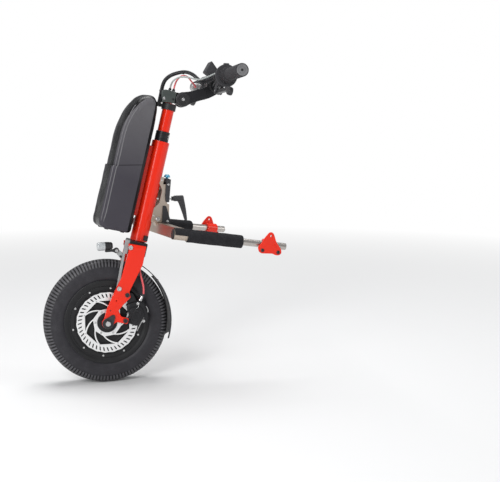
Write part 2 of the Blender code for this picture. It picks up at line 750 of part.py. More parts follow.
def make_head_tube(column):
    """The raked tube with the battery rail, the steering stop and its two bearings."""
    head = turned("head_tube", column,
                  ring_profile(HEAD_TUBE_BORE, HEAD_TUBE_RADIUS, HEAD_TUBE_BOTTOM, HEAD_TUBE_TOP))
    wall_middle = (HEAD_TUBE_RADIUS + HEAD_TUBE_BORE) / 2
    rail_front = BAG_REAR + GAP
    rail = box("battery_rail", column,
               (-wall_middle - rail_front + 0.001, RAIL_WIDTH, RAIL_TOP - RAIL_BOTTOM),
               ((rail_front - wall_middle + 0.001) / 2, 0, (RAIL_TOP + RAIL_BOTTOM) / 2))
    stop_angle = math.radians(-70)
    reach = wall_middle + 0.0045
    stop = box("steering_stop", column, (0.008, 0.011, 0.014),
               (reach * math.cos(stop_angle), reach * math.sin(stop_angle), HEAD_TUBE_BOTTOM + 0.011),
               (0, 0, stop_angle))
    join(head, rail, stop)
    finish(head, RED, 0.3, 0.1)
    outer = HEAD_TUBE_BORE - GAP
    inner = STEERER_RADIUS + GAP
    for name, bottom in (("bearing_lower", HEAD_TUBE_BOTTOM + GAP),
                         ("bearing_upper", HEAD_TUBE_TOP - GAP - BEARING_HEIGHT)):
        ring = turned(name, column, ring_profile(inner, outer, bottom, bottom + BEARING_HEIGHT))
        finish(ring, SILVER, 0.3, 1.0)


BAG_FRONT = [(0.847, 0.000), (0.947, 0.018), (1.000, 0.057), (1.000, 0.434), (0.993, 0.446),
             (0.945, 0.454), (0.941, 0.694), (0.916, 0.749), (0.876, 0.801), (0.814, 0.863),
             (0.711, 0.921), (0.583, 0.962), (0.445, 0.989), (0.317, 1.000), (0.189, 0.995),
             (0.094, 0.978), (0.030, 0.952), (0.000, 0.915)]


def bag_outline(wall):
    """The bag seen from its side, drawn in by a wall; its points are shares of its size."""
    depth = BAG_DEPTH - 2 * wall
    height = BAG_HEIGHT - 2 * wall
    corner = (BAG_REAR - wall, BAG_BOTTOM + wall)
    return [corner] + [(corner[0] - share * depth, corner[1] + rise * height)
                       for share, rise in BAG_FRONT]


def make_battery(column):
    """The soft bag that hangs on the rail, with the battery and the controller in it."""
    bag = flat("battery_bag", column, [bag_outline(0)], BAG_WIDTH, bevel=0.006)
    inside = flat("bag_space", column, [bag_outline(BAG_WALL)], BAG_WIDTH - 2 * BAG_WALL)
    outlet = box("bag_outlet", column, (0.014, 0.022, 0.030),
                 (BAG_REAR - 0.019, 0, BAG_BOTTOM + BAG_HEIGHT - 0.009))
    cut(bag, inside, outlet)
    finish(bag, BLACK, 0.8)

    floor = BAG_BOTTOM + BAG_WALL + GAP
    rear = BAG_REAR - BAG_WALL - GAP
    width = BAG_WIDTH - 2 * BAG_WALL - 2 * GAP
    cells = box("battery_pack", column, (PACK_DEPTH, width, PACK_HEIGHT),
                (rear - PACK_DEPTH / 2, 0, floor + PACK_HEIGHT / 2), bevel=0.003)
    finish(cells, (0.05, 0.12, 0.3, 1), 0.5)
    controller = box("motor_controller", column,
                     (CONTROLLER_DEPTH, CONTROLLER_WIDTH, CONTROLLER_HEIGHT),
                     (rear - 0.006 - CONTROLLER_DEPTH / 2, 0,
                      floor + PACK_HEIGHT + GAP + CONTROLLER_HEIGHT / 2), bevel=0.002)
    finish(controller, GREY, 0.4, 0.9)


def make_bracket(column, lever_place):
    """The bracket behind the head tube, its pivot pin, and what fastens it."""
    half = BRACKET_HALF_WIDTH
    inner = half - BRACKET_PLATE
    inset = HANDLE_WIDTH / 2 - HANDLE_WEB - 2 * GAP
    shelf = HANDLE_BOTTOM[1] - 0.004
    top = HANDLE_TOP[1] + HANDLE_CEILING - 0.0015
    notch = HANDLE_TOP[1] - 0.0035
    outline = [(0.0155, 0.2822), (0.046, 0.2868), (0.050, 0.2925), (0.0665, 0.2955),
               (0.0567, shelf), (HANDLE_BOTTOM[0] + inset, shelf),
               (HANDLE_TOP[0] + inset - 0.0006, top), (HANDLE_TOP[0] - 0.0015, top),
               (HANDLE_TOP[0] - 0.0095, notch), (0.0262, notch), (0.0262, 0.406), (0.0155, 0.406),
               (0.0155, 0.388), (0.0275, 0.372), (0.0275, 0.336), (0.0155, 0.320)]
    pivot_hole = circle(PIVOT_POINT, PIVOT_RADIUS + GAP, 20)
    handle_hole = circle(HANDLE_TOP, PIVOT_RADIUS / 2 + GAP, 12)
    sides = []
    for side, name in ((-1, "dock_bracket"), (1, "bracket_far_side")):
        sides.append(flat(name, column, [outline, pivot_hole, handle_hole],
                          BRACKET_PLATE, (0, side * (half - BRACKET_PLATE / 2), 0)))
    bracket = sides[0]
    across = 2 * inner + 0.002
    web_top = box("bracket_web_top", column, (0.014, across, 0.016), (0.0265, 0, 0.381))
    web_low = box("bracket_web_low", column, (0.012, across, 0.014), (0.0265, 0, 0.316))
    rear_web = box("bracket_web_rear", column, (0.0080, across, 0.018), (0.0420, 0, 0.3515))
    join(bracket, web_top, web_low, rear_web, sides[1])
    clearance = cylinder("tube_clearance", column, HEAD_TUBE_RADIUS + GAP, 0.3, (0, 0, 0.34),
                         steps=ROUND_STEPS)
    thread = cylinder("lever_thread", column, SPINDLE_RADIUS + GAP, 0.08, lever_place,
                      (0, ALONG_X[1] - RAKE, 0), 16)
    cut(bracket, clearance, thread)
    finish(bracket, BEIGE, 0.4, 0.7)

    reach = half + CHEEK_THICKNESS + 2 * GAP
    pin = [(0, reach + 0.0015), (PIVOT_RADIUS - 0.0008, reach + 0.0015),
           (PIVOT_RADIUS, reach), (PIVOT_RADIUS, -half - GAP),
           (PIVOT_RADIUS + 0.002, -half - GAP), (PIVOT_RADIUS + 0.002, -reach - 0.001), (0, -reach - 0.001)]
    pivot = turned("dock_pivot_pin", column, pin, (PIVOT_POINT[0], 0, PIVOT_POINT[1]), ALONG_Y, 20,
                   closed=False)
    finish(pivot, SILVER, 0.3, 1.0)


def make_release(column):
    """The straddling release handle with its push button."""
    axis = frame("release_axis", column, (HANDLE_TOP[0], 0, HANDLE_TOP[1]))
    drop = Vector((HANDLE_BOTTOM[0] - HANDLE_TOP[0], HANDLE_BOTTOM[1] - HANDLE_TOP[1]))
    lean = math.atan2(drop.x, -drop.y)
    tilt = (0, -lean, 0)
    down = Vector((math.sin(lean), 0, -math.cos(lean)))
    back = Vector((math.cos(lean), 0, math.sin(lean)))
    length = drop.length
    outer = BRACKET_HALF_WIDTH + GAP + CHEEK_THICKNESS
    ceiling = HANDLE_CEILING
    cap_top = ceiling + HANDLE_CAP
    handle = box("release_handle", axis, (HANDLE_WIDTH, 2 * outer, length + cap_top),
                 down * (length - cap_top) / 2, tilt, bevel=0.0015)
    slot_length = length + ceiling + 0.010
    slot_depth = HANDLE_WIDTH - HANDLE_WEB + 0.010
    slot = box("handle_slot", axis, (slot_depth, 2 * (BRACKET_HALF_WIDTH + GAP), slot_length),
               down * (slot_length / 2 - ceiling) + back * (HANDLE_WIDTH / 2 - HANDLE_WEB - slot_depth / 2),
               tilt)
    notch = box("handle_notch", axis, (0.03, 2 * SPINDLE_RADIUS + 0.004, 0.048), down * length, tilt)
    cut(handle, slot, notch)
    pin = cylinder("handle_pin", axis, PIVOT_RADIUS / 2, 2 * outer - 0.002, (0, 0, 0), ALONG_Y, 12)
    join(handle, pin)
    socket = back * BUTTON_OFFSET - down * cap_top
    stem_radius = BUTTON_STEM_RADIUS
    cut(handle, cylinder("button_socket", axis, stem_radius + GAP, 0.0166, socket, tilt, 20))
    finish(handle, BLACK, 0.4)

    rest = 0.0035
    radius = BUTTON_RADIUS
    profile = [(0, rest + 0.0085), (radius * 0.45, rest + 0.0078), (radius * 0.8, rest + 0.0053),
               (radius, rest + 0.0015), (radius, rest), (stem_radius, rest),
               (stem_radius, rest - 0.008), (0, rest - 0.008)]
    press = frame("button_axis", axis, socket, tilt)
    finish(turned("release_button", press, profile, steps=20, closed=False), BLUE, 0.25)


def make_clamp_lever(column, lever_place):
    """The adjustable handle that clamps the bracket, turning about its screw."""
    axis = frame("clamp_lever_axis", column, lever_place, (0, -RAKE, 0))
    radius = LEVER_HUB_RADIUS
    length = LEVER_HUB_LENGTH
    hub = [(0, length), (radius - 0.001, length), (radius, length - 0.001), (radius, 0.007),
           (radius - 0.002, 0.005), (radius - 0.002, 0), (SPINDLE_RADIUS, 0),
           (SPINDLE_RADIUS, -SPINDLE_LENGTH), (0, -SPINDLE_LENGTH)]
    lever = turned("clamp_lever", axis, hub, rotation=ALONG_X, steps=20, closed=False)
    blade = [(0.014, -0.004), (0.020, -0.014), (0.031, -0.040), (0.0375, -0.062),
             (0.0445, -0.0625), (0.0425, -0.038), (0.036, -0.008), (0.033, 0.002), (0.016, 0.002)]
    join(lever, flat("clamp_blade", axis, [blade], 0.009, bevel=0.002))
    finish(lever, DARK_GREY, 0.45)


def arm_route(x, side):
    """The point of an arm's axis at a place along the docking frame."""
    return Vector((x, side * (ARM_HALF_SPAN + math.tan(ARM_SPREAD) * x), -ARM_DROP))


def make_dock(dock, pivot_dock):
    """The welded docking frame with its plugs, sleeves and latch."""
    size = CROSSBAR_SIZE
    frame_piece = box("dock_frame", dock, (size, CROSSBAR_WIDTH, size), (0, 0, 0), bevel=0.0015)
    lug = arc(pivot_dock, LUG_RADIUS, math.radians(20), math.radians(200), 10)
    lug += [(-size / 2 + 0.001, 0.002), (size / 2 - 0.012, 0.002), (size / 2 - 0.012, size / 2)]
    join(frame_piece, flat("pivot_lug", dock, [lug, circle(pivot_dock, PIVOT_RADIUS + GAP, 20)],
                           LUG_WIDTH))
    for side, word in ((-1, "left"), (1, "right")):
        heading = (0, 0, side * ARM_SPREAD)
        axis = frame(f"arm_axis_{word}", dock, arm_route(0, side), heading)
        middle = (ARM_FRONT + ARM_LENGTH / 2, 0, 0)
        join(frame_piece, cylinder(f"arm_tube_{word}", axis, ARM_TUBE_RADIUS, ARM_LENGTH, middle,
                                   ALONG_X, 20))
        bore = cylinder(f"arm_bore_{word}", axis, ARM_TUBE_BORE, ARM_LENGTH + 0.02, middle,
                        ALONG_X, 20)
        cut(frame_piece, bore)
        make_arm(axis, word, side)
    finish(frame_piece, BEIGE, 0.4, 0.7)

    inner = BRACKET_HALF_WIDTH + GAP
    outer = inner + CHEEK_THICKNESS
    foot_z = size / 2 + GAP
    cheek = [(-0.004, foot_z), (0.0185, foot_z), (0.0168, foot_z + 0.014), (0.0016, foot_z + 0.046),
             (-0.0075, foot_z + 0.046)]
    lock = flat("lock_arm", dock, [cheek], CHEEK_THICKNESS, (0, -(inner + outer) / 2, 0))
    other = flat("lock_cheek", dock, [cheek], CHEEK_THICKNESS, (0, (inner + outer) / 2, 0))
    foot = box("lock_foot", dock, (0.014, 2 * inner + 0.002, 0.0020), (0.0105, 0, foot_z + 0.0010))
    join(lock, foot, other)
    finish(lock, DARK_GREY, 0.4, 0.6)


def make_arm(axis, word, side):
    """One arm: its front plug, its sleeve, and the rod that carries the clamp plate."""
    front = ARM_FRONT
    plug = [(0, front - 0.0045), (ARM_TUBE_RADIUS - 0.002, front - 0.0045),
            (ARM_TUBE_RADIUS, front - 0.003), (ARM_TUBE_RADIUS, front - GAP),
            (ARM_TUBE_BORE - GAP, front - GAP), (ARM_TUBE_BORE - GAP, front + 0.014),
            (0, front + 0.014)]
    finish(turned(f"arm_plug_{word}", axis, plug[::-1], rotation=ALONG_X, steps=20, closed=False),
           BLACK, 0.5)
    sleeve = turned(f"arm_sleeve_{word}", axis,
                    ring_profile(ARM_TUBE_RADIUS + GAP, SLEEVE_RADIUS, SLEEVE_START, SLEEVE_END),
                    rotation=ALONG_X, steps=20)
    slit = 0.06
    cut(sleeve, box(f"sleeve_slit_{word}", axis, (slit, slit, slit),
                    (SLEEVE_SLIT - slit / 2, -side * slit / 2, 0)))
    finish(sleeve, BLACK, 0.85)
    rod_end = ROD_START + ROD_LENGTH
    rod = [(0, rod_end), (ROD_RADIUS - 0.001, rod_end), (ROD_RADIUS, rod_end - 0.001),
           (ROD_RADIUS, ROD_START), (0, ROD_START)]
    finish(turned(f"arm_rod_{word}", axis, rod, rotation=ALONG_X, steps=20, closed=False),
           SILVER, 0.25, 1.0)
    make_clamp_plate(axis, word, side)


CLAMP_APEX = (0.2316, 0.0232)
APEX_HOLE = 0.0026
BOLT_HOLE = 0.0033
CLAMP_BOLT_HEAD = 0.0050
FRONT_BOLT = (0.2107, -0.0157)
REAR_BOLT = (0.2576, -0.0177)


def make_clamp_plate(axis, word, side):
    """The triangular plate that bolts to the wheelchair, with the boss for the rod."""
    dock = axis.parent
    outline = [(0.2228, 0.0275), (0.2262, 0.0318), (0.2316, 0.0336), (0.2368, 0.0316),
               (0.2402, 0.0268), (0.2488, 0.0095), (0.2660, -0.0090), (0.2690, -0.0190),
               (0.2630, -0.0255), (0.2520, -0.0262), (0.2430, -0.0225), (0.2090, -0.0245),
               (0.2020, -0.0195), (0.1985, -0.0080), (0.2060, 0.0000), (0.2150, 0.0170)]
    face = side * (PLATE_FACE - CLAMP_THICKNESS / 2)
    holes = [circle(CLAMP_APEX, APEX_HOLE, 16), circle(FRONT_BOLT, BOLT_HOLE, 16),
             circle(REAR_BOLT, BOLT_HOLE, 16)]
    plate = flat(f"frame_plate_{word}", dock, [outline] + holes, CLAMP_THICKNESS, (0, face, 0))
    boss_x = (FRONT_BOLT[0] + REAR_BOLT[0]) / 2 / math.cos(ARM_SPREAD)
    boss = cylinder(f"plate_boss_{word}", axis, BOSS_RADIUS, BOSS_LENGTH, (boss_x, 0, 0), ALONG_X, 20)
    join(plate, boss)
    bore = cylinder(f"boss_bore_{word}", axis, ROD_RADIUS + GAP, 0.12, (boss_x, 0, 0), ALONG_X, 20)
    cut(plate, bore)
    finish(plate, RED, 0.3, 0.1)
    shank = 0.0030
    for name, place in (("front_bolt", FRONT_BOLT), ("rear_bolt", REAR_BOLT)):
        outer = PLATE_FACE + GAP
        inner = PLATE_FACE - CLAMP_THICKNESS
        profile = [(0, outer + 0.0022), (CLAMP_BOLT_HEAD - 0.001, outer + 0.0018),
                   (CLAMP_BOLT_HEAD, outer), (shank, outer),
                   (shank, inner - 0.0035), (0, inner - 0.0035)]
        screw = turned(f"{name}_{word}", dock, profile, (place[0], 0, place[1]),
                       (side * ALONG_Y[0], 0, 0), 20, closed=False)
        finish(screw, SILVER, 0.3, 1.0)


def make_post(steer):
    """The tube that sets the handlebar's height, and the block clamped on it."""
    post = turned("bar_post", steer, ring_profile(POST_BORE, POST_RADIUS, POST_BOTTOM, POST_TOP))
    finish(post, RED, 0.3, 0.1)
    half = BLOCK_WIDTH / 2
    ring = cylinder("stem_block", steer, POST_RADIUS + 0.0032, 0.017, (0, 0, POST_TOP - 0.0095),
                    steps=ROUND_STEPS)
    sides = [(-0.030, POST_TOP + 0.022), (-0.0228, POST_TOP - 0.0025), (0.0095, POST_TOP + 0.003),
             (0.0095, POST_TOP + 0.030), (0.006, POST_TOP + 0.0325), (-0.020, POST_TOP + 0.0325),
             (-0.0285, POST_TOP + 0.0295)]
    body = flat("block_body", steer, [sides], BLOCK_WIDTH, bevel=0.0025)
    pivot_x, pivot_z = STEM_PIVOT
    lug = [(0.000, pivot_z + 0.016), (pivot_x, pivot_z + STEM_DRUM_RADIUS - 0.003)]
    lug += arc(STEM_PIVOT, STEM_DRUM_RADIUS - 0.003, math.radians(80), math.radians(-80), 12)
    lug += [(pivot_x, pivot_z - STEM_DRUM_RADIUS + 0.003), (0.000, pivot_z - 0.012)]
    ear = flat("block_lug", steer, [lug], STEM_LUG_WIDTH)
    grommets = [cylinder(f"grommet_{index}", steer, 0.0042, 0.010, (x, 0, GROMMET_TOP - 0.005),
                         steps=14) for index, x in enumerate(GROMMETS)]
    gland = cylinder("cable_gland", steer, BUNDLE_RADIUS + 0.0015, 0.011,
                     (BUNDLE_X, 0, GLAND_TOP - 0.0055), steps=20)
    bolt_head = cylinder("block_bolt", steer, 0.0038, 0.004, (-0.0235, -half - 0.0005, POST_TOP + 0.008),
                         ALONG_Y, 14)
    groove = cylinder("cable_groove", steer, BUNDLE_RADIUS + 0.0008, 0.060,
                      (BUNDLE_X, 0, GLAND_TOP + 0.0301), steps=20)
    gland_web = box("gland_web", steer, (0.014, 0.010, 0.009), (-0.022, 0, GLAND_TOP - 0.006))
    join(ring, body, ear, *grommets, bolt_head, gland, gland_web)
    post_space = cylinder("post_space", steer, POST_RADIUS + GAP, 0.020 + GAP,
                          (0, 0, POST_TOP + GAP - (0.020 + GAP) / 2), steps=ROUND_STEPS)
    pivot_hole = cylinder("stem_pin_hole", steer, 0.0045, 0.05, (pivot_x, 0, pivot_z), ALONG_Y, 20)
    cut(ring, post_space, pivot_hole, groove)
    finish(ring, DARK_GREY, 0.4, 0.6)


def make_stem(steer):
    """The arm that tilts on the block and holds the handlebar."""
    stem = frame("stem_axis", steer, (STEM_PIVOT[0], 0, STEM_PIVOT[1]), (0, -STEM_ANGLE, 0))
    radius = STEM_DRUM_RADIUS
    split = STEM_LENGTH - GAP / 2
    outline = arc((0, 0), radius, math.radians(62), math.radians(285), 18)
    outline += [(radius - 0.0030, -0.0174), (0.041, -0.0192), (split - 0.025, -0.0222),
                (split - 0.013, -0.0215), (split, -0.0200), (split, 0.0240),
                (split - 0.0115, 0.0235), (split - 0.0175, 0.0088), (0.0526, 0.0095),
                (radius + 0.0055, 0.0130)]
    arm = flat("stem_arm", stem, [outline], STEM_WIDTH, bevel=0.0015)
    slot = cylinder("stem_slot", stem, radius + 0.0015, STEM_LUG_WIDTH + 2 * GAP, (0, 0, 0),
                    ALONG_Y, 36)
    bar_space = cylinder("bar_space", stem, BAR_CLAMP_RADIUS + GAP, 0.06, (STEM_LENGTH, 0, 0),
                         ALONG_Y, ROUND_STEPS)
    pin = cylinder("stem_pin", stem, 0.0042, STEM_WIDTH + 0.003, (0, 0, 0), ALONG_Y, 20)
    cut(arm, slot, bar_space)
    join(arm, pin)
    finish(arm, BLACK, 0.35, 0.5)
    front = STEM_LENGTH + GAP / 2
    cap = [(front, 0.0240), (0.1040, 0.0225), (0.1110, 0.0120), (0.1120, -0.0100),
           (0.1060, -0.0185), (front, -0.0200)]
    faceplate = flat("stem_faceplate", stem, [cap], STEM_WIDTH, bevel=0.0015)
    face_space = cylinder("face_space", stem, BAR_CLAMP_RADIUS + GAP, 0.06, (STEM_LENGTH, 0, 0),
                          ALONG_Y, ROUND_STEPS)
    cut(faceplate, face_space)
    finish(faceplate, BLACK, 0.35, 0.5)
    return stem


def make_bar(stem):
    """The riser handlebar, with the grips, controls and levers on its two ends."""
    bar = frame("bar_frame", stem, (STEM_LENGTH, 0, 0), (0, STEM_ANGLE, 0))
    half = BAR_HALF_LENGTH
    side_route = [(0, BAR_CENTRE_STRAIGHT, 0), (0, BAR_CENTRE_STRAIGHT + 0.012, 0.0012),
                  (0, BAR_BEND_END - 0.012, BAR_RISE - 0.0012), (0, BAR_BEND_END, BAR_RISE),
                  (BAR_SWEEP, half, BAR_RISE + BAR_END_RISE)]
    left = [(x, -y, z) for x, y, z in reversed(side_route)]
    handlebar = tube("handlebar", bar, left + side_route, BAR_RADIUS, 4)
    middle = cylinder("bar_middle", bar, BAR_CLAMP_RADIUS, BAR_CLAMP_WIDTH, (0, 0, 0), ALONG_Y,
                      ROUND_STEPS)
    join(handlebar, middle)
    finish(handlebar, BLACK, 0.35, 0.6)
    for side, word in ((-1, "left"), (1, "right")):
        run = half - BAR_BEND_END
        yaw = -side * math.atan2(BAR_SWEEP, run)
        roll = side * math.atan2(BAR_END_RISE, run)
        end = frame(f"bar_end_{word}", bar, (0, side * BAR_BEND_END, BAR_RISE), (roll, 0, yaw))
        make_controls(end, word, side)
    return bar


def make_controls(end, word, side):
    """The lever perch, grip and brake lever of one side; the left side has the throttle."""
    bore = BAR_RADIUS + GAP
    length = BAR_HALF_LENGTH - BAR_BEND_END
    outward = (-side * math.radians(90), 0, 0)
    flange = (FLANGE_RADIUS, 0.0405) if side < 0 else (0.0190, 0.0300)
    core = [(0, 0.048), (flange[0], 0.048), flange, (0.0160, flange[1]), (0.0160, 0.004), (0, 0.004)]
    perch = turned(f"control_body_{word}", end, core, rotation=outward, steps=20, closed=False)
    hinge = (-0.005, side * 0.015, -LEVER_DROP)
    ear_width = LEVER_THICKNESS + 0.007
    body = box(f"perch_{word}", end, (ear_width, 0.024, LEVER_DROP - 0.012 + 0.007),
               (hinge[0], hinge[1], -(LEVER_DROP + 0.012 + 0.007) / 2), bevel=0.002)
    join(perch, body)
    bar_hole = cylinder(f"perch_bore_{word}", end, bore, 0.08, (0, side * 0.026, 0), ALONG_Y, 20)
    room = flat(f"perch_slot_{word}", end,
                [[(hinge[1] - 0.020, -LEVER_DROP - 0.012), (hinge[1] + 0.020, -LEVER_DROP - 0.012),
                  (hinge[1] + 0.020, -LEVER_DROP + 0.0125), (hinge[1] - 0.020, -LEVER_DROP + 0.0125)]],
                LEVER_THICKNESS + 2 * GAP, (hinge[0], 0, 0), FACING_X)
    pin_hole = cylinder(f"perch_pin_hole_{word}", end, 0.0028, 0.03, hinge, ALONG_X, 14)
    if side > 0:
        reservoir = cylinder("reservoir", end, 0.009, 0.038,
                             (RESERVOIR[0], RESERVOIR[1] + 0.019, RESERVOIR[2]), ALONG_Y, 20)
        bridge = box("reservoir_bridge", end, (0.024, 0.020, 0.012), (-0.018, 0.026, -0.014))
        join(perch, reservoir, bridge)
    else:
        join(perch, cylinder("cable_inlet", end, 0.007, 0.014, (INLET[0], -0.011, INLET[1]), ALONG_Y, 20))
    cut(perch, bar_hole, room, pin_hole)
    finish(perch, DARK_GREY, 0.4)

    grip_start = 0.0483
    if side < 0:
        sleeve = ring_profile(bore, THROTTLE_RADIUS, 0.0483, 0.0885)
        twist = frame("throttle_axis", end)
        finish(turned("throttle_sleeve", twist, sleeve, rotation=outward, steps=20), BLACK, 0.7)
        grip_start = 0.0888
    close = length + 0.0035
    grip = [(0, close), (GRIP_RADIUS - 0.003, close), (GRIP_RADIUS, close - 0.003),
            (GRIP_RADIUS, grip_start), (bore, grip_start), (bore, length + GAP), (0, length + GAP)]
    finish(turned(f"grip_{word}", end, grip, rotation=outward, steps=20, closed=False), BLACK, 0.75)

    axis = frame(f"brake_lever_axis_{word}", end, hinge)
    reach = LEVER_REACH
    blade = arc((0, 0), 0.0085, math.radians(100), math.radians(260), 8)
    blade += [(0.020, -0.0058), (reach - 0.040, -0.0070), (reach - 0.020, -0.0185),
              (reach - 0.005, -0.0195), (reach + 0.001, -0.0115), (reach - 0.003, -0.0005),
              (reach - 0.026, 0.0042), (0.060, 0.0030), (0.020, 0.0048)]
    if side < 0:
        blade = [(-across, up) for across, up in reversed(blade)]
    lever = flat(f"brake_lever_{word}", axis, [blade], LEVER_THICKNESS, (0, 0, 0), FACING_X,
                 bevel=0.0015)
    join(lever, cylinder(f"lever_pin_{word}", axis, 0.0025, ear_width + 0.001, (0, 0, 0), ALONG_X, 14))
    finish(lever, DARK_GREY, 0.35, 0.6)


def make_display(bar):
    """The display on its clamp round the handlebar."""
    axis = frame("display_axis", bar)
    ring = cylinder("display", axis, 0.0150, 0.010, (0, DISPLAY_RING_Y, 0), ALONG_Y, 28)
    case = [(-0.0412, 0.0280), (-0.0315, 0.0607), (-0.0005, 0.0339), (-0.0112, 0.0157)]
    shell = flat("display_case", axis, [case], DISPLAY_WIDTH, (0, DISPLAY_Y, 0), bevel=0.002)
    foot = [(-0.0115, 0.001), (-0.003, 0.0135), (-0.008, 0.026), (-0.026, 0.026), (-0.018, 0.002)]
    neck = flat("display_neck", axis, [foot], 0.010, (0, DISPLAY_RING_Y, 0))
    join(ring, shell, neck)
    cut(ring, cylinder("display_bore", axis, BAR_RADIUS + GAP, 0.03, (0, DISPLAY_RING_Y, 0), ALONG_Y,
                       28))
    finish(ring, DARK_GREY, 0.4)


GROMMET_TOP = POST_TOP + 0.041
GROMMETS = (-0.0075, 0.0025)
BUNDLE_X = -0.029
BUNDLE_RADIUS = 0.0055
GLAND_TOP = POST_TOP - 0.003
RESERVOIR = (-0.030, 0.012, -0.020)
INLET = (-0.0195, -0.006)


def above_post(points):
    """Route points whose heights count from the top of the post."""
    return [Vector((x, y, POST_TOP + height)) for x, y, height in points]


def bundle_route(end):
    """The cable bundle rises in front of the block and runs over it to the handlebar."""
    rise = GLAND_TOP - POST_TOP
    return above_post([(BUNDLE_X, 0, rise + GAP), (BUNDLE_X, 0, 0.012), (BUNDLE_X, 0, 0.028),
                       (BUNDLE_X, 0, 0.042), (-0.0262, 0, 0.056), (-0.0195, 0, 0.067),
                       (-0.0100, 0, 0.076), (0.0030, 0, 0.084), (0.0170, -0.001, 0.090),
                       (0.030, -0.004, 0.0915), (0.0435, -0.011, 0.088), (0.053, -0.022, 0.081),
                       (0.060, -0.038, 0.075), (0.068, -0.060, 0.073), (0.0775, -0.0745, 0.0785)]
                      ) + [end + Vector((0, 0.012, 0)), end + Vector((0, 0.006, 0)), end]


def left_hose_route(end):
    start = GROMMETS[0]
    rise = GROMMET_TOP - POST_TOP
    return above_post([(start, 0, rise + GAP), (start, 0, rise + 0.004), (start, 0, rise + 0.008),
                       (-0.004, -0.007, 0.062), (0.010, -0.016, 0.074), (0.030, -0.032, 0.0765),
                       (0.052, -0.052, 0.075), (0.0705, -0.070, 0.0850), (0.0860, -0.084, 0.0970)]
                      ) + [end + Vector((0, 0.008, 0)), end + Vector((0, 0.004, 0)), end]


def right_hose_route(end):
    start = GROMMETS[1]
    rise = GROMMET_TOP - POST_TOP
    return above_post([(start, 0, rise + GAP), (start, 0, rise + 0.004), (start, 0, rise + 0.008),
                       (0.0065, 0.008, 0.066), (0.019, 0.024, 0.0825), (0.038, 0.048, 0.087),
                       (0.058, 0.078, 0.080)]
                      ) + [end + Vector((0, -0.008, 0.001)), end + Vector((0, -0.004, 0)), end]


def make_cables(steer, stem, bar):
    """The cable bundle and the two hoses between the block and the handlebar."""
    bpy.context.view_layer.update()
    to_stem = stem.matrix_world.inverted() @ steer.matrix_world
    from_bar = steer.matrix_world.inverted() @ bar.matrix_world
    face = BAR_BEND_END + 0.004 - 2 * GAP
    left_end = from_bar @ Vector((-0.0115, -face, BAR_RISE + 0.0080))
    bundle_end = from_bar @ Vector((INLET[0], -face, BAR_RISE + INLET[1]))
    right_end = from_bar @ Vector((RESERVOIR[0], BAR_BEND_END + RESERVOIR[1] - 2 * GAP,
                                   BAR_RISE + RESERVOIR[2]))

    def cord(name, route, radius, spacing, colour):
        local = [to_stem @ Vector(point) for point in route]
        return finish(tube(name, stem, smooth_route(local, spacing), radius), colour, 0.6)

    cord("cable_bundle", bundle_route(bundle_end), BUNDLE_RADIUS, 0.014, BLACK)
    cord("hose_left", left_hose_route(left_end), 0.0022, 0.011, GREY)
    cord("hose_right", right_hose_route(right_end), 0.0022, 0.011, RED)


def stand_on_ground(root):
    """Move the whole to the ground, with the origin below the middle of its box."""
    bpy.context.view_layer.update()
    graph = bpy.context.evaluated_depsgraph_get()
    corners = []
    for item in parts.objects:
        if item.type == "MESH":
            solid = item.evaluated_get(graph)
            corners += [solid.matrix_world @ vertex.co for vertex in solid.data.vertices]
    low = [min(corner[axis] for corner in corners) for axis in range(3)]
    high = [max(corner[axis] for corner in corners) for axis in range(3)]
    root.location = (-(low[0] + high[0]) / 2, -(low[1] + high[1]) / 2, -low[2])
    bpy.context.view_layer.update()


remove_everything()
parts = new_collection("wheelchair_front_drive")
cutters = new_collection("cutters")

root = frame("attachment", None)
dock = frame("dock", root, (DOCK_CENTRE[0], 0, DOCK_CENTRE[1]), (0, DOCK_PITCH, 0))
COLUMN_FOOT = (0.0368, 0.1545)
column_pivot = turn(PIVOT_POINT, RAKE)
pivot_world = (COLUMN_FOOT[0] + column_pivot[0], COLUMN_FOOT[1] + column_pivot[1])
pivot_dock = turn((pivot_world[0] - DOCK_CENTRE[0], pivot_world[1] - DOCK_CENTRE[1]), -DOCK_PITCH)
tilt_axis = frame("dock_tilt_axis", root, (pivot_world[0], 0, pivot_world[1]), (0, RAKE, 0))
column = frame("column", tilt_axis, (-PIVOT_POINT[0], 0, -PIVOT_POINT[1]))
steer = frame("steering_axis", column, (0, 0, 0), (0, 0, STEER_ANGLE))

make_dock(dock, pivot_dock)
make_head_tube(column)
make_battery(column)
lever_offset = turn((LEVER_HUB_X - COLUMN_FOOT[0], LEVER_HUB_Z - COLUMN_FOOT[1]), -RAKE)
lever_place = (lever_offset[0], 0, lever_offset[1])
make_bracket(column, lever_place)
make_release(column)
make_clamp_lever(column, lever_place)
make_wheel(steer)
make_axle(steer)
make_fork(steer)
make_channel(steer)
make_headlight(steer)
make_mudguard(steer)
make_caliper(steer)
make_post(steer)
stem = make_stem(steer)
bar = make_bar(stem)
make_display(bar)
make_cables(steer, stem, bar)
stand_on_ground(root)
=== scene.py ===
# %% [markdown]
# # A powered front wheel for a wheelchair
# A small driven wheel carries a steering column with a battery bag in front and a handlebar on
# top. Behind the column a latch holds a docking frame, which stays bolted to the wheelchair.
# The solids come ready made from the CAD model. They give every place and size, and this lesson
# dresses them: each shown piece is modelled again with its finer forms, in the same place.

# %% Load the solids
import json
import math

import bmesh
import bpy
from mathutils import Euler, Matrix, Vector, noise


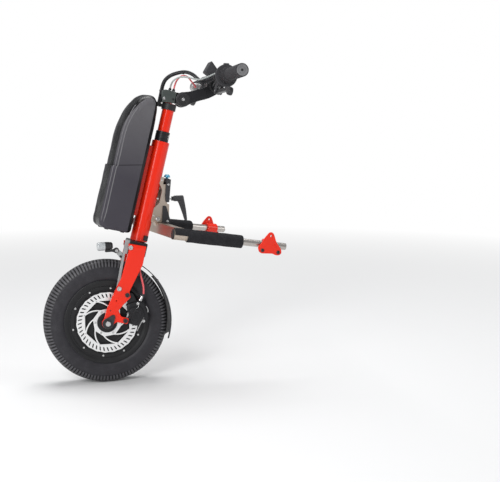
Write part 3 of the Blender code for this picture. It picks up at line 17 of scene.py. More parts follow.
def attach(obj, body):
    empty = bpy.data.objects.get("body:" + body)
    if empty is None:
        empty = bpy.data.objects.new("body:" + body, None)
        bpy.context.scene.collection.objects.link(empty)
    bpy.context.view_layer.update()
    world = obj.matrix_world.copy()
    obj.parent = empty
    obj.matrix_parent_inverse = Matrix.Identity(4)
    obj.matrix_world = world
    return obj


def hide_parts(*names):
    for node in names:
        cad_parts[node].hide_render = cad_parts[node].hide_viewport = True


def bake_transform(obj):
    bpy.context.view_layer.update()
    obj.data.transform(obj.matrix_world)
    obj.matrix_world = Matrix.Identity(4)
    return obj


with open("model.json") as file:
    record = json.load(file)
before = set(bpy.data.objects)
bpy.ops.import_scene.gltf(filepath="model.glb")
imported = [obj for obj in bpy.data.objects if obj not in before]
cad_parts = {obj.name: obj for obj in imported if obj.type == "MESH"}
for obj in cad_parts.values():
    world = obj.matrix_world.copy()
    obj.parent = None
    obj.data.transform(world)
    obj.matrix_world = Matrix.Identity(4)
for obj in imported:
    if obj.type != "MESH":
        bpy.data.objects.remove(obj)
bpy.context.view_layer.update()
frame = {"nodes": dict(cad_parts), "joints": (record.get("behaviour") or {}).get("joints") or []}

# %% [markdown]
# ## Where things are
# The column leans back and the wheel is turned a little to one side, so a piece is much easier to
# draw upright and straight, in a frame of its own, and to set down leaning. A frame is a matrix.
# The foot of the steering axis is read from the joint, and the rest follows from the same numbers
# as the solids have.

# %% Frames
def at(place=(0, 0, 0), x=0, y=0, z=0):
    """A place, turned by these degrees about X, then Y, then Z."""
    turn = Euler([math.radians(angle) for angle in (x, y, z)])
    return Matrix.Translation(place) @ turn.to_matrix().to_4x4()


JOINTS = {joint["name"]: joint for joint in frame["joints"]}
FOOT = Vector(JOINTS["steer"]["pos_m"])
RAKE = 14.53
STEER = -12.7
STEM_RISE = 35.2
DOCK_DROP = 8.6
ARM_SPREAD = 10
AXLE_OFFSET = -0.038
DOCK_CENTRE = Vector((0.1192, 0, 0.2495))
ARM_HALF_SPAN = 0.1463
STEM_PIVOT = (0.0299, 0, 0.6181)
STEM_LENGTH = 0.0913
GRIP_START = 0.095
GRIP_RISE = 0.021
GRIP_SLOPE = 0.0022 / 0.205
GRIP_SWEEP = 0.0035 / 0.205

COLUMN = at(FOOT, y=RAKE)
FORK = COLUMN @ at(z=STEER)
WHEEL = FORK @ at((AXLE_OFFSET, 0, 0))
DOCK = at(FOOT + DOCK_CENTRE, y=DOCK_DROP)
STEM = FORK @ at(STEM_PIVOT, y=-STEM_RISE)
BAR = STEM @ at((STEM_LENGTH, 0, 0), y=STEM_RISE)
FACING_REAR = at(x=90, z=90)
AXIS_Y = at(x=-90)
AXIS_X = at(y=90)
SIDES = ((-1, "left"), (1, "right"))


def upright(y):
    """The plane that a side view is drawn in, at this distance from the middle."""
    return at((0, y, 0), x=90)


def arm_frame(side):
    """The axis of one arm of the docking frame."""
    return DOCK @ at((0, side * ARM_HALF_SPAN, -0.0014), z=side * ARM_SPREAD)


def bar_end(side):
    """The straight end of the handlebar that carries a grip."""
    end = Euler((side * math.atan(GRIP_SLOPE), 0, -side * math.atan(GRIP_SWEEP)))
    return BAR @ at((0, side * GRIP_START, GRIP_RISE)) @ end.to_matrix().to_4x4()


print("wheel axis at", [round(value, 4) for value in WHEEL.translation])

# %% [markdown]
# ## The camera
# The photograph was taken from the front left, a little above the column's middle. The lens and
# the place of the camera were worked out from points on the object with known sizes.

# %% Camera
def placed(name, data):
    """A new object in the scene."""
    item = bpy.data.objects.new(name, data)
    bpy.context.scene.collection.objects.link(item)
    return item


camera = placed("camera", bpy.data.cameras.new("camera"))
camera.location = (-0.91627, -2.42117, 0.74453)
camera.rotation_euler = Vector((0.4372, 0.8879, -0.1431)).to_track_quat("-Z", "Y").to_euler()
camera.data.lens = 70.14
camera.data.sensor_width = 36
bpy.context.scene.camera = camera
print("camera", round(camera.data.lens, 1), "mm")

# %% [markdown]
# ## Simple shapes
# Most pieces are turned, cut from plate, bent from rod or milled from a block. One function for
# each of these makes a small mesh. An edge on a real piece is never perfectly sharp, and its
# rounding catches the light, so every function rounds its edges. The points inside `mm` are typed
# in millimetres, as on a drawing. All other lengths are in metres.

# %% Outlines
def mm(*points):
    """Points typed in millimetres, given back in metres."""
    return [tuple(value / 1000 for value in point) for point in points]


def mirrored(half):
    """Half an outline, followed by its mirror image in reverse order."""
    return half + [(x, -y) for x, y in reversed(half)]


def rounded(points, radius, closed=True, steps=4):
    """Replace the corners of an outline by short curves."""
    corners = [Vector(point) for point in points]
    result = []
    for index, corner in enumerate(corners):
        before = corners[index - 1] - corner
        after = corners[(index + 1) % len(corners)] - corner
        if not closed and index in (0, len(corners) - 1):
            result.append(tuple(corner))
            continue
        if before.length < 1e-7 or after.length < 1e-7 or before.angle(-after) < 0.05:
            result.append(tuple(corner))
            continue
        reach = min(radius, 0.48 * before.length, 0.48 * after.length)
        start = corner + before.normalized() * reach
        end = corner + after.normalized() * reach
        for step in range(steps + 1):
            share = step / steps
            result.append(tuple(start.lerp(corner, share).lerp(corner.lerp(end, share), share)))
    return result


def arc(centre, radius, start, end, count):
    """Points on an arc, from one angle to another in degrees."""
    angles = [math.radians(start + (end - start) * step / (count - 1)) for step in range(count)]
    return [(centre[0] + radius * math.cos(angle), centre[1] + radius * math.sin(angle))
            for angle in angles]


def ring(centre, radius, count=24):
    return arc(centre, radius, 0, 360 * (count - 1) / count, count)


def inset(loop, distance):
    """Move the corners of a closed outline inwards, to the left of its direction."""
    moved = []
    for index, corner in enumerate(loop):
        before = (corner - loop[index - 1]).normalized()
        after = (loop[(index + 1) % len(loop)] - corner).normalized()
        first = Vector((-before.y, before.x))
        second = Vector((-after.y, after.x))
        middle = (first + second).normalized()
        moved.append(corner + middle * distance / max(0.5, middle.dot(first)))
    return moved


def smooth_route(points, spacing):
    """Points read from a smooth curve through a route's own points."""
    route = [Vector(point) for point in points]
    ends = [2 * route[0] - route[1]] + route + [2 * route[-1] - route[-2]]
    places = []
    for a, b, c, d in zip(ends, ends[1:], ends[2:], ends[3:]):
        count = max(2, round((c - b).length / spacing))
        for step in range(count):
            t = step / count
            places.append(0.5 * (2 * b + (c - a) * t + (2 * a - 5 * b + 4 * c - d) * t * t
                                 + (3 * b - a - 3 * c + d) * t ** 3))
    places.append(route[-1])
    return places


print("a rounded square has", len(rounded([(0, 0), (1, 0), (1, 1), (0, 1)], 0.2)), "points")


# %% Turned, flat, bent and milled shapes
def skin(shape, rows, around=True):
    """Faces between rows of points; a row of one point is the tip of a cone."""
    for first, second in zip(rows, rows[1:]):
        count = max(len(first), len(second))
        for step in range(count if around else count - 1):
            after = (step + 1) % count
            corners = [first[step % len(first)], first[after % len(first)],
                       second[after % len(second)], second[step % len(second)]]
            corners = list(dict.fromkeys(corners))
            if len(corners) > 2:
                shape.faces.new(corners)
    bmesh.ops.recalc_face_normals(shape, faces=shape.faces)
    return shape


def strip(shape, rows):
    """A thin bent wall with closed sections: its long sides, and both its ends."""
    skin(shape, rows)
    for row in (rows[0], rows[-1]):
        last = len(row) - 1
        for step in range(last // 2):
            shape.faces.new((row[step], row[step + 1], row[last - 1 - step], row[last - step]))
    bmesh.ops.recalc_face_normals(shape, faces=shape.faces)
    return shape


def turned(profile, steps=48, closed=False):
    """Turn a profile of (radius, height) about Z."""
    shape = bmesh.new()
    rows = []
    for radius, height in profile:
        if radius < 1e-6:
            rows.append([shape.verts.new((0, 0, height))])
        else:
            rows.append([shape.verts.new((x, y, height)) for x, y in ring((0, 0), radius, steps)])
    return skin(shape, rows + rows[:1] if closed else rows)


def plate(outline, thickness, edge=0.0008, holes=()):
    """A plate in its own X and Y, with rounded edges and holes."""
    shape = bmesh.new()
    faces_edges = ([], [])
    for index, points in enumerate([outline, *holes]):
        loop = [Vector(point) for point in points]
        area = sum(a.x * b.y - a.y * b.x for a, b in zip(loop, loop[1:] + loop[:1]))
        if (area > 0) != (index == 0):
            loop.reverse()
        rows = []
        for side in (1, -1):
            turns = (90, 45, 0) if side > 0 else (0, 45, 90)
            for angle in turns:
                depth = edge * (1 - math.cos(math.radians(angle)))
                height = side * (thickness / 2 - edge + edge * math.sin(math.radians(angle)))
                rows.append([shape.verts.new((*corner, height)) for corner in inset(loop, depth)])
        skin(shape, rows)
        for row, edges in ((rows[0], faces_edges[0]), (rows[-1], faces_edges[1])):
            edges += [shape.edges.get((a, b)) for a, b in zip(row, row[1:] + row[:1])]
    for edges in faces_edges:
        bmesh.ops.triangle_fill(shape, use_beauty=True, edges=edges)
    bmesh.ops.recalc_face_normals(shape, faces=shape.faces)
    return shape


def headings(route):
    """The direction of a route at each of its points."""
    ends = route[:1] + route + route[-1:]
    return [(after - before).normalized() for before, after in zip(ends, ends[2:])]


def rod(points, radius, steps=16):
    """A round bar along a route; the radius is one number or one for each point."""
    route = [Vector(point) for point in points]
    radii = radius if isinstance(radius, (list, tuple)) else [radius] * len(route)
    shape = bmesh.new()
    ahead = headings(route)
    last = ahead[0]
    across = last.orthogonal().normalized()
    rows = [[shape.verts.new(route[0])]]
    for place, size, heading in zip(route, radii, ahead):
        across = last.rotation_difference(heading) @ across
        last = heading
        up = heading.cross(across)
        rows.append([shape.verts.new(place + (across * x + up * y))
                     for x, y in ring((0, 0), size, steps)])
    rows.append([shape.verts.new(route[-1])])
    return skin(shape, rows)


def block(size, edge=0.002):
    """A block with rounded edges."""
    shape = bmesh.new()
    bmesh.ops.create_cube(shape, size=1)
    bmesh.ops.scale(shape, vec=size, verts=shape.verts)
    bmesh.ops.bevel(shape, geom=list(shape.edges), offset=edge, segments=3, profile=0.5,
                    affect="EDGES", clamp_overlap=True)
    return shape


def screw_head(radius, height, socket=0.5):
    """A round screw head with its socket; it stands on its own X and Y."""
    hole = radius * socket
    chamfer = min(0.0006, radius * 0.25)
    return turned([(0, height * 0.3), (hole * 0.86, height * 0.3), (hole, height),
                   (radius - chamfer, height), (radius, height - chamfer), (radius, 0), (0, 0)], 24)


# %% [markdown]
# ## Putting a piece together
# A real piece is often several of these shapes welded, cast or screwed into one. The small class
# below gathers them in one mesh, gives each its finish, and says which body of the mechanism the
# piece moves with and which solid it stands for. Its flat faces stay flat because the shading
# follows the largest faces at each corner.

# %% A piece
def as_mesh(name, shape):
    """Finish a shape and keep it as a mesh."""
    mesh = bpy.data.meshes.new(name)
    shape.to_mesh(mesh)
    shape.free()
    return mesh


class Piece:
    """Shapes that make one piece, drawn in the frame called home."""

    def __init__(self, home):
        self.home = home
        self.shape = bmesh.new()

    def add(self, part, where=Matrix(), paint=0):
        bmesh.ops.transform(part, matrix=where, verts=part.verts)
        for face in part.faces:
            face.material_index = paint
        mesh = as_mesh("part", part)
        self.shape.from_mesh(mesh)
        bpy.data.meshes.remove(mesh)
        return self

    def slab(self, outline, corner, thickness, edge, where=Matrix(), paint=0, holes=()):
        """Add a plate whose outline gets rounded corners."""
        return self.add(plate(rounded(outline, corner), thickness, edge, holes), where, paint)

    def lathe(self, profile, corner, steps, where=Matrix(), paint=0, closed=False, bend=2):
        """Add a turned shape whose profile gets rounded corners."""
        return self.add(turned(rounded(profile, corner, closed, bend), steps, closed), where, paint)

    def box(self, size, edge, where=Matrix(), paint=0):
        return self.add(block(size, edge), where, paint)

    def screw(self, radius, height, where=Matrix(), paint=0):
        return self.add(screw_head(radius, height), where, paint)

    def done(self, name, body, slot, finishes, nodes, even=True):
        """Turn the shapes into an object that stands for these CAD nodes."""
        mesh = as_mesh(name, self.shape)
        mesh.shade_smooth()
        mesh.set_sharp_from_angle(angle=math.radians(38))
        item = placed(name, mesh)
        item.matrix_world = self.home
        for finish in finishes:
            mesh.materials.append(finish.material)
        if even:
            item.modifiers.new("Even shading", "WEIGHTED_NORMAL").keep_sharp = True
        if body:
            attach(item, body)
        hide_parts(*nodes)
        print(name, len(mesh.polygons), "faces")
        return item


# %% [markdown]
# ## Writing a finish
# A finish is a network of shader nodes. Written as sums and products it reads like the recipe
# that it is. `Signal` wraps the output of a node so that `1 - mask` adds a Math node, and
# `Network.node` adds any other kind. Only colour, roughness and the small relief change over a
# surface. What is the same all over is set on the shader's own socket.

# %% Shader maths
class Signal:
    """The output of a node, for use in sums and products."""

    def __init__(self, network, socket):
        self.network = network
        self.socket = socket

    def maths(self, operation, *values):
        return self.network.node("Math", {"operation": operation}, dict(enumerate(values)))

    def __add__(self, other):
        return self.maths("ADD", self, other)

    def __sub__(self, other):
        return self.maths("SUBTRACT", self, other)

    def __rsub__(self, other):
        return self.maths("SUBTRACT", other, self)

    def __mul__(self, other):
        return self.maths("MULTIPLY", self, other)

    __radd__ = __add__
    __rmul__ = __mul__

    def wave(self, pitch):
        """A wave that repeats after this many metres."""
        return self.maths("SINE", self * (2 * math.pi / pitch))

    def fade(self, low, high):
        """0 below the low value, 1 above the high one."""
        return self.network.node("MapRange", {"clamp": True}, {0: self, 1: low, 2: high})


class Network:
    """A tree of shader nodes."""

    def __init__(self, tree):
        self.tree = tree

    def feed(self, socket, value):
        """Link a signal to a socket, or set a value on it."""
        if isinstance(value, Signal):
            self.tree.links.new(value.socket, socket)
        else:
            socket.default_value = value

    def node(self, kind, settings=None, values=None, output=0):
        """Add a node: its settings first, then the values or links of its sockets."""
        made = self.tree.nodes.new("ShaderNode" + kind)
        for setting, value in (settings or {}).items():
            setattr(made, setting, value)
        for socket, value in (values or {}).items():
            self.feed(made.inputs[socket], value)
        return Signal(self, made.outputs[output])


class Finish(Network):
    """A material whose looks come from nodes."""

    def __init__(self, name, colour, roughness, metallic=0.0, **constants):
        self.material = bpy.data.materials.new(name)
        self.material.use_nodes = True
        self.material.diffuse_color = (*colour, 1)
        super().__init__(self.material.node_tree)
        self.shader = self.tree.nodes["Principled BSDF"]
        self.colour = (*colour, 1)
        self.base_roughness = roughness
        self.set(Metallic=metallic, **constants)

    def set(self, **sockets):
        """Feed sockets of the main shader, named with _ for a space."""
        for socket, value in sockets.items():
            self.feed(self.shader.inputs[socket.replace("_", " ")], value)

    def spot(self, stretch=(1, 1, 1)):
        """The place on the piece in metres, stretched along its axes."""
        place = self.node("TexCoord", output="Object")
        return self.node("VectorMath", {"operation": "MULTIPLY"}, {0: place, 1: stretch})

    def noise(self, scale, detail=3.0, stretch=(1, 1, 1)):
        return self.node("TexNoise", None, {"Vector": self.spot(stretch), "Scale": scale,
                                            "Detail": detail})

    def cells(self, scale):
        return self.node("TexVoronoi", None, {"Vector": self.spot(), "Scale": scale})

    def axes(self):
        parts = self.node("SeparateXYZ", None, {0: self.spot()})
        return [Signal(self, parts.socket.node.outputs[index]) for index in range(3)]

    def colour_now(self):
        """The network that already feeds the colour."""
        return Signal(self, self.shader.inputs["Base Color"].links[0].from_socket)

    def mix(self, share, first, second):
        colours = [value if isinstance(value, Signal) else (*value[:3], 1)
                   for value in (first, second)]
        return self.node("Mix", {"data_type": "RGBA"}, {0: share, 6: colours[0], 7: colours[1]}, 2)

    def vary(self, mask, tint, roughness_change):
        """Shift the colour towards a tint, and change the roughness, where the mask is high."""
        self.set(Base_Color=self.mix(mask, self.colour, tint),
                 Roughness=mask * roughness_change + self.base_roughness)
        return self

    def relief(self, height, depth):
        """Small bumps of this depth in metres."""
        bump = self.node("Bump", None, {"Distance": depth, "Height": height})
        self.set(Normal=bump)
        return self


# %% [markdown]
# ## The finishes
# Red enamel covers the column, the fork and the clamp plates: a thin hard film with a faint
# orange peel. The docking frame is warm bare metal with a fine grain. The rest is black in many
# ways: anodised metal, moulded plastic, rubber, foam and coated cloth. What tells these apart is
# their roughness and their grain, so each has its own.

# %% Paint, metal and plastic
def enamel(name, colour):
    """Glossy paint with a faint orange peel."""
    paint = Finish(name, colour, 0.30, 0.0, Coat_Weight=0.45, Coat_Roughness=0.08,
                   Specular_IOR_Level=0.12)
    darker = [value * 0.86 for value in colour]
    paint.vary(paint.noise(22, 4), darker, 0.08)
    return paint.relief(paint.noise(650, 2), 0.00006)


def metal(name, colour, roughness, along=(1, 1, 1), grain=420.0, depth=0.00004, tint=0.8):
    """Metal whose fine scratches run across the stretched axes."""
    bare = Finish(name, colour, roughness, 1.0)
    scratches = bare.noise(grain, 4, along)
    clouds = bare.noise(35, 4)
    bare.vary(clouds * 0.5 + scratches * 0.5, [value * tint for value in colour], 0.14)
    return bare.relief(scratches, depth)


def moulded(name, colour, roughness, grain=900.0, depth=0.00008, metallic=0.0):
    """Moulded plastic or a matt coat: fine pits, and paler, slightly rougher patches at random."""
    plastic = Finish(name, colour, roughness, metallic, Specular_IOR_Level=0.30)
    pale = [value * 1.35 + 0.004 for value in colour]
    plastic.vary(plastic.noise(45, 4), pale, 0.10)
    return plastic.relief(plastic.noise(grain, 3), depth)


RED = enamel("red_enamel", (0.82, 0.022, 0.004))
BARE = metal("warm_bare_metal", (0.56, 0.475, 0.40), 0.34, (1, 1, 6), 300.0)
STEEL = metal("bright_steel", (0.66, 0.66, 0.66), 0.24, (1, 1, 8))
ROD_STEEL = metal("rod_steel", (0.52, 0.49, 0.46), 0.24, (8, 1, 1))
DISC_STEEL = metal("ground_disc_steel", (0.95, 0.95, 0.95), 0.36, (5, 1, 1), 260.0)
CAST = metal("cast_silver", (0.55, 0.55, 0.55), 0.42, grain=700.0, depth=0.0001)
ANODISED = moulded("black_anodised", (0.016, 0.016, 0.018), 0.30, 1400.0, 0.00003, 0.4)
BLOCK_GREY = moulded("grey_green_anodised", (0.060, 0.070, 0.066), 0.36, 1100.0, 0.00004, 0.5)
EDGE_GREY = moulded("pale_grey_anodised", (0.30, 0.31, 0.31), 0.34, 1100.0, 0.00004, 0.6)
BLACK = moulded("black_plastic", (0.016, 0.016, 0.017), 0.42)
SOFT_BLACK = moulded("satin_black_plastic", (0.030, 0.030, 0.033), 0.50, 700.0, 0.00012)
MOTOR = moulded("motor_paint", (0.008, 0.008, 0.009), 0.34, 500.0, 0.00008)
DARK = moulded("dark_metal", (0.040, 0.040, 0.042), 0.34, 800.0, 0.00006, 0.6)
BLUE = Finish("blue_button", (0.030, 0.36, 0.56), 0.16, Coat_Weight=0.8, Coat_Roughness=0.04)
BLUE.vary(BLUE.noise(160, 3), (0.02, 0.26, 0.44), 0.06).relief(BLUE.noise(900, 2), 0.00003)
COPPER = metal("copper_windings", (0.62, 0.26, 0.12), 0.34, (1, 8, 1))
print("paint, metal and plastic:", len(bpy.data.materials), "materials")


# %% Rubber, foam, cloth and glass
def rubber(name, colour, roughness, grain=500.0, depth=0.00015):
    """Rubber with dust in its pores."""
    soft = Finish(name, colour, roughness, 0.0, Specular_IOR_Level=0.25)
    dust = soft.noise(60, 5) * soft.noise(grain, 2)
    soft.vary(dust.fade(0.2, 0.5), [value * 1.5 + 0.006 for value in colour], 0.10)
    return soft.relief(soft.noise(grain, 3), depth)


def cloth(name, colour, roughness, pitch, depth, sheen):
    """Woven cloth: threads cross on each of the three main planes."""
    woven = Finish(name, colour, roughness, 0.0, Sheen_Weight=sheen, Sheen_Roughness=0.4)
    across, along, up = woven.axes()
    threads = across.wave(pitch) * up.wave(pitch) + along.wave(pitch) * up.wave(pitch)
    creases = woven.noise(28, 4)
    woven.vary(creases * 0.7 + threads * 0.12, [value * 1.6 + 0.004 for value in colour], 0.12)
    return woven.relief(threads * 0.5 + creases, depth)


TYRE = rubber("tyre_rubber", (0.024, 0.023, 0.027), 0.42)
GRIP = rubber("grip_rubber", (0.032, 0.031, 0.034), 0.62, 900.0)
CABLE = rubber("cable_rubber", (0.014, 0.014, 0.016), 0.36, 700.0, 0.00005)
HOSE_RED = rubber("red_hose", (0.62, 0.10, 0.11), 0.34, 800.0, 0.00003)
HOSE_GREY = rubber("grey_hose", (0.30, 0.32, 0.31), 0.36, 800.0, 0.00003)
FOAM = rubber("black_foam", (0.013, 0.013, 0.015), 0.90, 380.0, 0.0006)
LINING = moulded("battery_case", (0.03, 0.07, 0.17), 0.5)
PAD = moulded("brake_lining", (0.10, 0.06, 0.04), 0.7, 400.0, 0.0002)
LENS = Finish("lamp_lens", (0.50, 0.52, 0.53), 0.10, Coat_Weight=1.0, Coat_Roughness=0.03)
LENS.vary(LENS.noise(90, 2), (0.34, 0.36, 0.37), 0.05).relief(LENS.cells(420), 0.0003)
SCREEN = Finish("dark_screen", (0.010, 0.011, 0.014), 0.12, Coat_Weight=1.0, Coat_Roughness=0.03)
SCREEN.vary(SCREEN.noise(20, 2), (0.020, 0.022, 0.028), 0.04)
print("all finishes:", len(bpy.data.materials), "materials")

# %% [markdown]
# ## The tyre
# The tyre is 328 mm across and 62 mm wide, with smooth walls and a ring of lugs on each shoulder.
# A displacement texture would blur the lugs, so the mesh itself carries them: the section is
# turned in four steps for each lug, and the shoulder points sink between two lugs.

# %% Tyre
LUGS = 112
LUG_DEPTH = 0.0019
LUG_START = 0.128
LUG_REACH = 0.036
LUG_STEPS = [(0.04, False), (0.50, False), (0.58, True), (0.96, True)]
TYRE_SIDE = mm((104.3, 26.7), (111.7, 26.8), (114, 28.4), (116, 28.8), (116.8, 29.4),
               (119.5, 30.1), (124.5, 30.8), (131, 31), (137, 30.6), (141, 29.9), (141.8, 30.2),
               (143, 30.1), (143.6, 29.6))
TYRE_LUGS = mm((144.2, 29.9), (147.5, 28.9), (151.5, 27.1), (155, 24.8), (158.2, 22),
               (160.6, 18.6), (161.6, 15))
TYRE_CROWN = mm((160.6, 14.3), (160.8, 12.2), (163, 11.5), (163.8, 6), (163.9, 5.2), (162.2, 4.6),
                (162.2, 3), (164, 2.4))


def tyre_row(angle, sunk):
    """One section of the tyre, from its left bead over the crown to its right bead."""
    half = list(TYRE_SIDE)
    for radius, width in TYRE_LUGS:
        depth = LUG_DEPTH if sunk else 0
        outwards = (radius - LUG_START) / LUG_REACH
        half.append((radius - depth * outwards, width - depth * (1.1 - outwards)))
    half += [(radius - (0.0012 if sunk and width > 0.006 else 0), width)
             for radius, width in TYRE_CROWN]
    section = mirrored(half)
    section += mm((104.3, -21.7), (139, -25.5), (159, 0), (139, 25.5), (104.3, 21.7))
    return [(radius * math.cos(angle), -width, radius * math.sin(angle))
            for radius, width in section]


tyre_mesh = bmesh.new()
tyre_rows = []
for lug in range(LUGS):
    for share, sunk in LUG_STEPS:
        points = tyre_row(2 * math.pi * (lug + share) / LUGS, sunk)
        tyre_rows.append([tyre_mesh.verts.new(point) for point in points])
skin(tyre_mesh, tyre_rows + tyre_rows[:1])
# Painted light on the shoulders: the lug tops get a painted highlight, and the gaps between the
# lugs get painted shade.
x, y, z = TYRE.axes()
turn = z.maths("ARCTAN2", z, x) * LUGS - 2 * math.pi * (LUG_STEPS[2][0] + LUG_STEPS[3][0]) / 2
between_lugs = turn.maths("COSINE", turn).fade(0.1, 0.4)
shoulder = (x * x + z * z).fade(0.1445 ** 2, 0.1475 ** 2)
lug_tops_painted_highlight = TYRE.mix(shoulder * (1 - between_lugs), TYRE.colour_now(), (0.085, 0.083, 0.090))
TYRE.set(Base_Color=TYRE.mix(shoulder * between_lugs, lug_tops_painted_highlight, (0.010, 0.010, 0.011)))
tyre = Piece(WHEEL).add(tyre_mesh)
tyre.done("lugged_tyre", "wheel", "tyre_rubber", [TYRE], ["tyre"])

# %% [markdown]
# ## The hub motor
# The motor fills the wheel. Its shell carries the rim flanges, and a cover closes the left side
# with ten small screws. Both are turned parts, so turned profiles with small steps are the
# natural way to make them. The right side has the same screws, because it is closed too.

# %% Hub shell and cover
def screws(piece, count, radius, where, head, height, paint, first=0.0):
    """Screw heads in a circle; where gives their plane."""
    for index in range(count):
        angle = first + 360 * index / count
        spot = at(z=angle) @ at((radius, 0, 0))
        piece.screw(head, height, where @ spot, paint)


shell = mm((10.3, 31), (30, 31), (32, 30), (82, 30), (84, 28.8), (98.5, 28.8), (100, 30.2),
           (109.5, 31), (111, 30.2), (111, 27.4), (104, 27), (104, -27), (111, -27.4),
           (111, -30.2), (109.5, -31), (103.5, -30.6), (98.5, -29.2), (95.3, -29.2), (95.3, -26.7),
           (91, -26.7), (91, 26), (10.3, 26))
hub = Piece(WHEEL)
hub.lathe(shell, 0.0006, 96, AXIS_Y)
screws(hub, 10, 0.0905, at((0, 0.0288, 0), x=-90), 0.0026, 0.0016, 1, 6.2)
hub.done("motor_shell", "wheel", "motor_paint", [MOTOR, STEEL], ["hub_shell"])

cover = mm((10.3, -27), (95, -27), (95, -30.3), (94.2, -31), (85, -31), (84.2, -30.2), (60, -30.2),
           (59, -31), (56, -31), (55, -30), (34.5, -30), (34, -38.2), (26.2, -38.2), (26.2, -42.8),
           (25.5, -43.5), (10.3, -43.5))
lid = Piece(WHEEL)
lid.lathe(cover, 0.0005, 96, AXIS_Y)
screws(lid, 10, 0.0900, upright(-0.0308), 0.0027, 0.0018, 1, 24.6)
lid.done("motor_lid", "wheel", "motor_paint", [MOTOR, STEEL], ["motor_cover"])

# %% [markdown]
# ## The brake disc
# A disc brake's rotor is cut from thin sheet: a wavy outer edge, slots that clean the pads, and
# swept windows that leave eight spokes. Holes in a filled outline give real edges, and the black
# motor shows through them. Six screws hold the disc to the hub.

# %% Brake disc
def polar(radius, degrees):
    angle = math.radians(degrees)
    return (radius * math.cos(angle), radius * math.sin(angle))


WAVES = 22
DISC_RADIUS = 0.0799
WAVE_DEPTH = 0.0006
SLOTS = 2 * WAVES
SPOKES = 8
SPOKE_HALF = 0.0024
WINDOW_START, WINDOW_REACH = 0.0375, 0.0235
disc_edge = [polar(DISC_RADIUS + WAVE_DEPTH * math.cos(math.radians(degrees * WAVES)), degrees)
             for degrees in range(0, 360, 3)]
disc_holes = [ring((0, 0), 0.0265, 48)]
for index in range(SLOTS):
    middle = 360 * index / SLOTS
    slot = [polar(0.0658, middle - 5.2), polar(0.0668, middle - 2.2), polar(0.0767, middle + 0.2),
            polar(0.0757, middle - 2.6)]
    disc_holes.append(rounded(slot, 0.0006, True, 2))
for index in range(SPOKES):
    start = 360 / SPOKES * index
    leading = []
    trailing = []
    for share in (step / 5 for step in range(6)):
        radius = WINDOW_START + WINDOW_REACH * share
        lean = start + 38 * share ** 0.9
        spoke = math.degrees(SPOKE_HALF / radius)
        leading.append(polar(radius, lean + spoke))
        trailing.append(polar(radius, lean + 360 / SPOKES - spoke * (1 + 0.9 * share)))
    disc_holes.append(rounded(leading + trailing[::-1], 0.0022, True, 3))
    disc_holes.append(ring(polar(0.0628, start + 39.6), 0.0010, 10))
disc = Piece(WHEEL)
disc.add(plate(disc_edge, 0.0020, 0.0003, disc_holes), upright(-0.0395))
screws(disc, 6, 0.0315, upright(-0.0405), 0.0030, 0.0016, 1, 12)
disc.done("slotted_brake_disc", "wheel", "bright_steel", [DISC_STEEL, STEEL], ["brake_rotor"])

# %% [markdown]
# ## The fork
# Two legs of red plate hang from a crown that also holds the steerer tube. The legs are cut from
# sheet with small rounded corners. A black washer with a pointed tongue keeps the axle nut from
# turning, on both sides.

# %% Fork legs and crown
CROWN_BOLT = (-0.024, 0.2065)
CHANNEL_BOLT = (-0.0295, 0.095)
CALIPER_BOLTS = mm((5, 16), (-5, 83))
BOLT_SEAT = 0.0583


def leg_outline(with_tabs):
    """A leg seen from the side, from the crown to the dropout."""
    rear = mm((-32, 216), (16, 218), (17.3, 169), (13.9, 155.4), (-1.4, 92.9))
    if with_tabs:
        rear += mm((5.5, 79), (-9.6, 55.5), (-18.5, 38.1), (-7.9, 24.5), (13, 23.5), (12.7, 8),
                   (-16.9, 8))
    else:
        rear += mm((-10, 55), (-18, 30))
    around = arc((AXLE_OFFSET, 0), 0.015, 0, -215, 14)
    front = mm((-48.9, 37.1), (-39.5, 85.2), (-30.2, 123.1), (-26.7, 198.4))
    return rounded(rear + around + front, 0.003)


for side, word in SIDES:
    bolts = [CROWN_BOLT, CHANNEL_BOLT, *CALIPER_BOLTS] if side < 0 else [CROWN_BOLT]
    holes = [ring((AXLE_OFFSET, 0), 0.0073, 24)] + [ring(place, 0.0038, 16) for place in bolts]
    if side < 0:
        holes += [ring(place, 0.0016, 12) for place in mm((-29.3, 62.3), (-38.5, 34.3))]
    leg = Piece(FORK)
    leg.add(plate(leg_outline(side < 0), 0.008, 0.0010, holes), upright(side * 0.054))
    leg.done(f"red_leg_{word}", "fork", "red_paint", [RED], [f"fork_plate_{word}"])

crown = Piece(FORK)
crown.box((0.048, 0.0994, 0.0366), 0.003, at((-0.004, 0, 0.2063)))
steerer = mm((16.25, 222.6), (17.4, 222.6), (17.4, 520.3), (16.8, 521), (16.25, 521))
crown.add(turned(steerer, 48, True))
for side in (-1, 1):
    spot = at((CROWN_BOLT[0], side * BOLT_SEAT, CROWN_BOLT[1]), x=side * -90)
    crown.screw(0.0060, 0.0035, spot, 1)
crown.done("crown_and_steerer", "fork", "black_anodised", [ANODISED, STEEL], ["fork_crown"])

# %% Axle and its caps
axle = Piece(WHEEL)
half_axle = mm((0, 68), (5.8, 68), (7, 66.8), (7, 49.7), (10, 49.7), (10, 20), (12, 20))
axle.add(turned(mirrored(half_axle), 36), AXIS_Y)
axle.done("ground_axle", "fork", "bright_steel", [STEEL], ["axle"])

TEARDROP = rounded(arc((0, 0), 0.0145, 50, 310, 18) + mm((24.5, -5), (28, 0), (24.5, 5)), 0.0012)
for side, word in SIDES:
    cap = Piece(WHEEL)
    cap.add(plate(TEARDROP, 0.004, 0.0009, [ring((0, 0), 0.0074, 24)]),
            at((0, side * 0.0603, 0), x=90, y=-65))
    nut = mm((7.3, 0), (10.8, 0), (10.8, 3.8), (9.8, 5.2), (7.3, 5.2))
    cap.lathe(nut, 0.0004, 6, at((0, side * 0.0621, 0), x=side * -90), closed=True)
    cap.done(f"axle_washer_{word}", "fork", "dark_metal", [DARK], [f"axle_cap_{word}"])
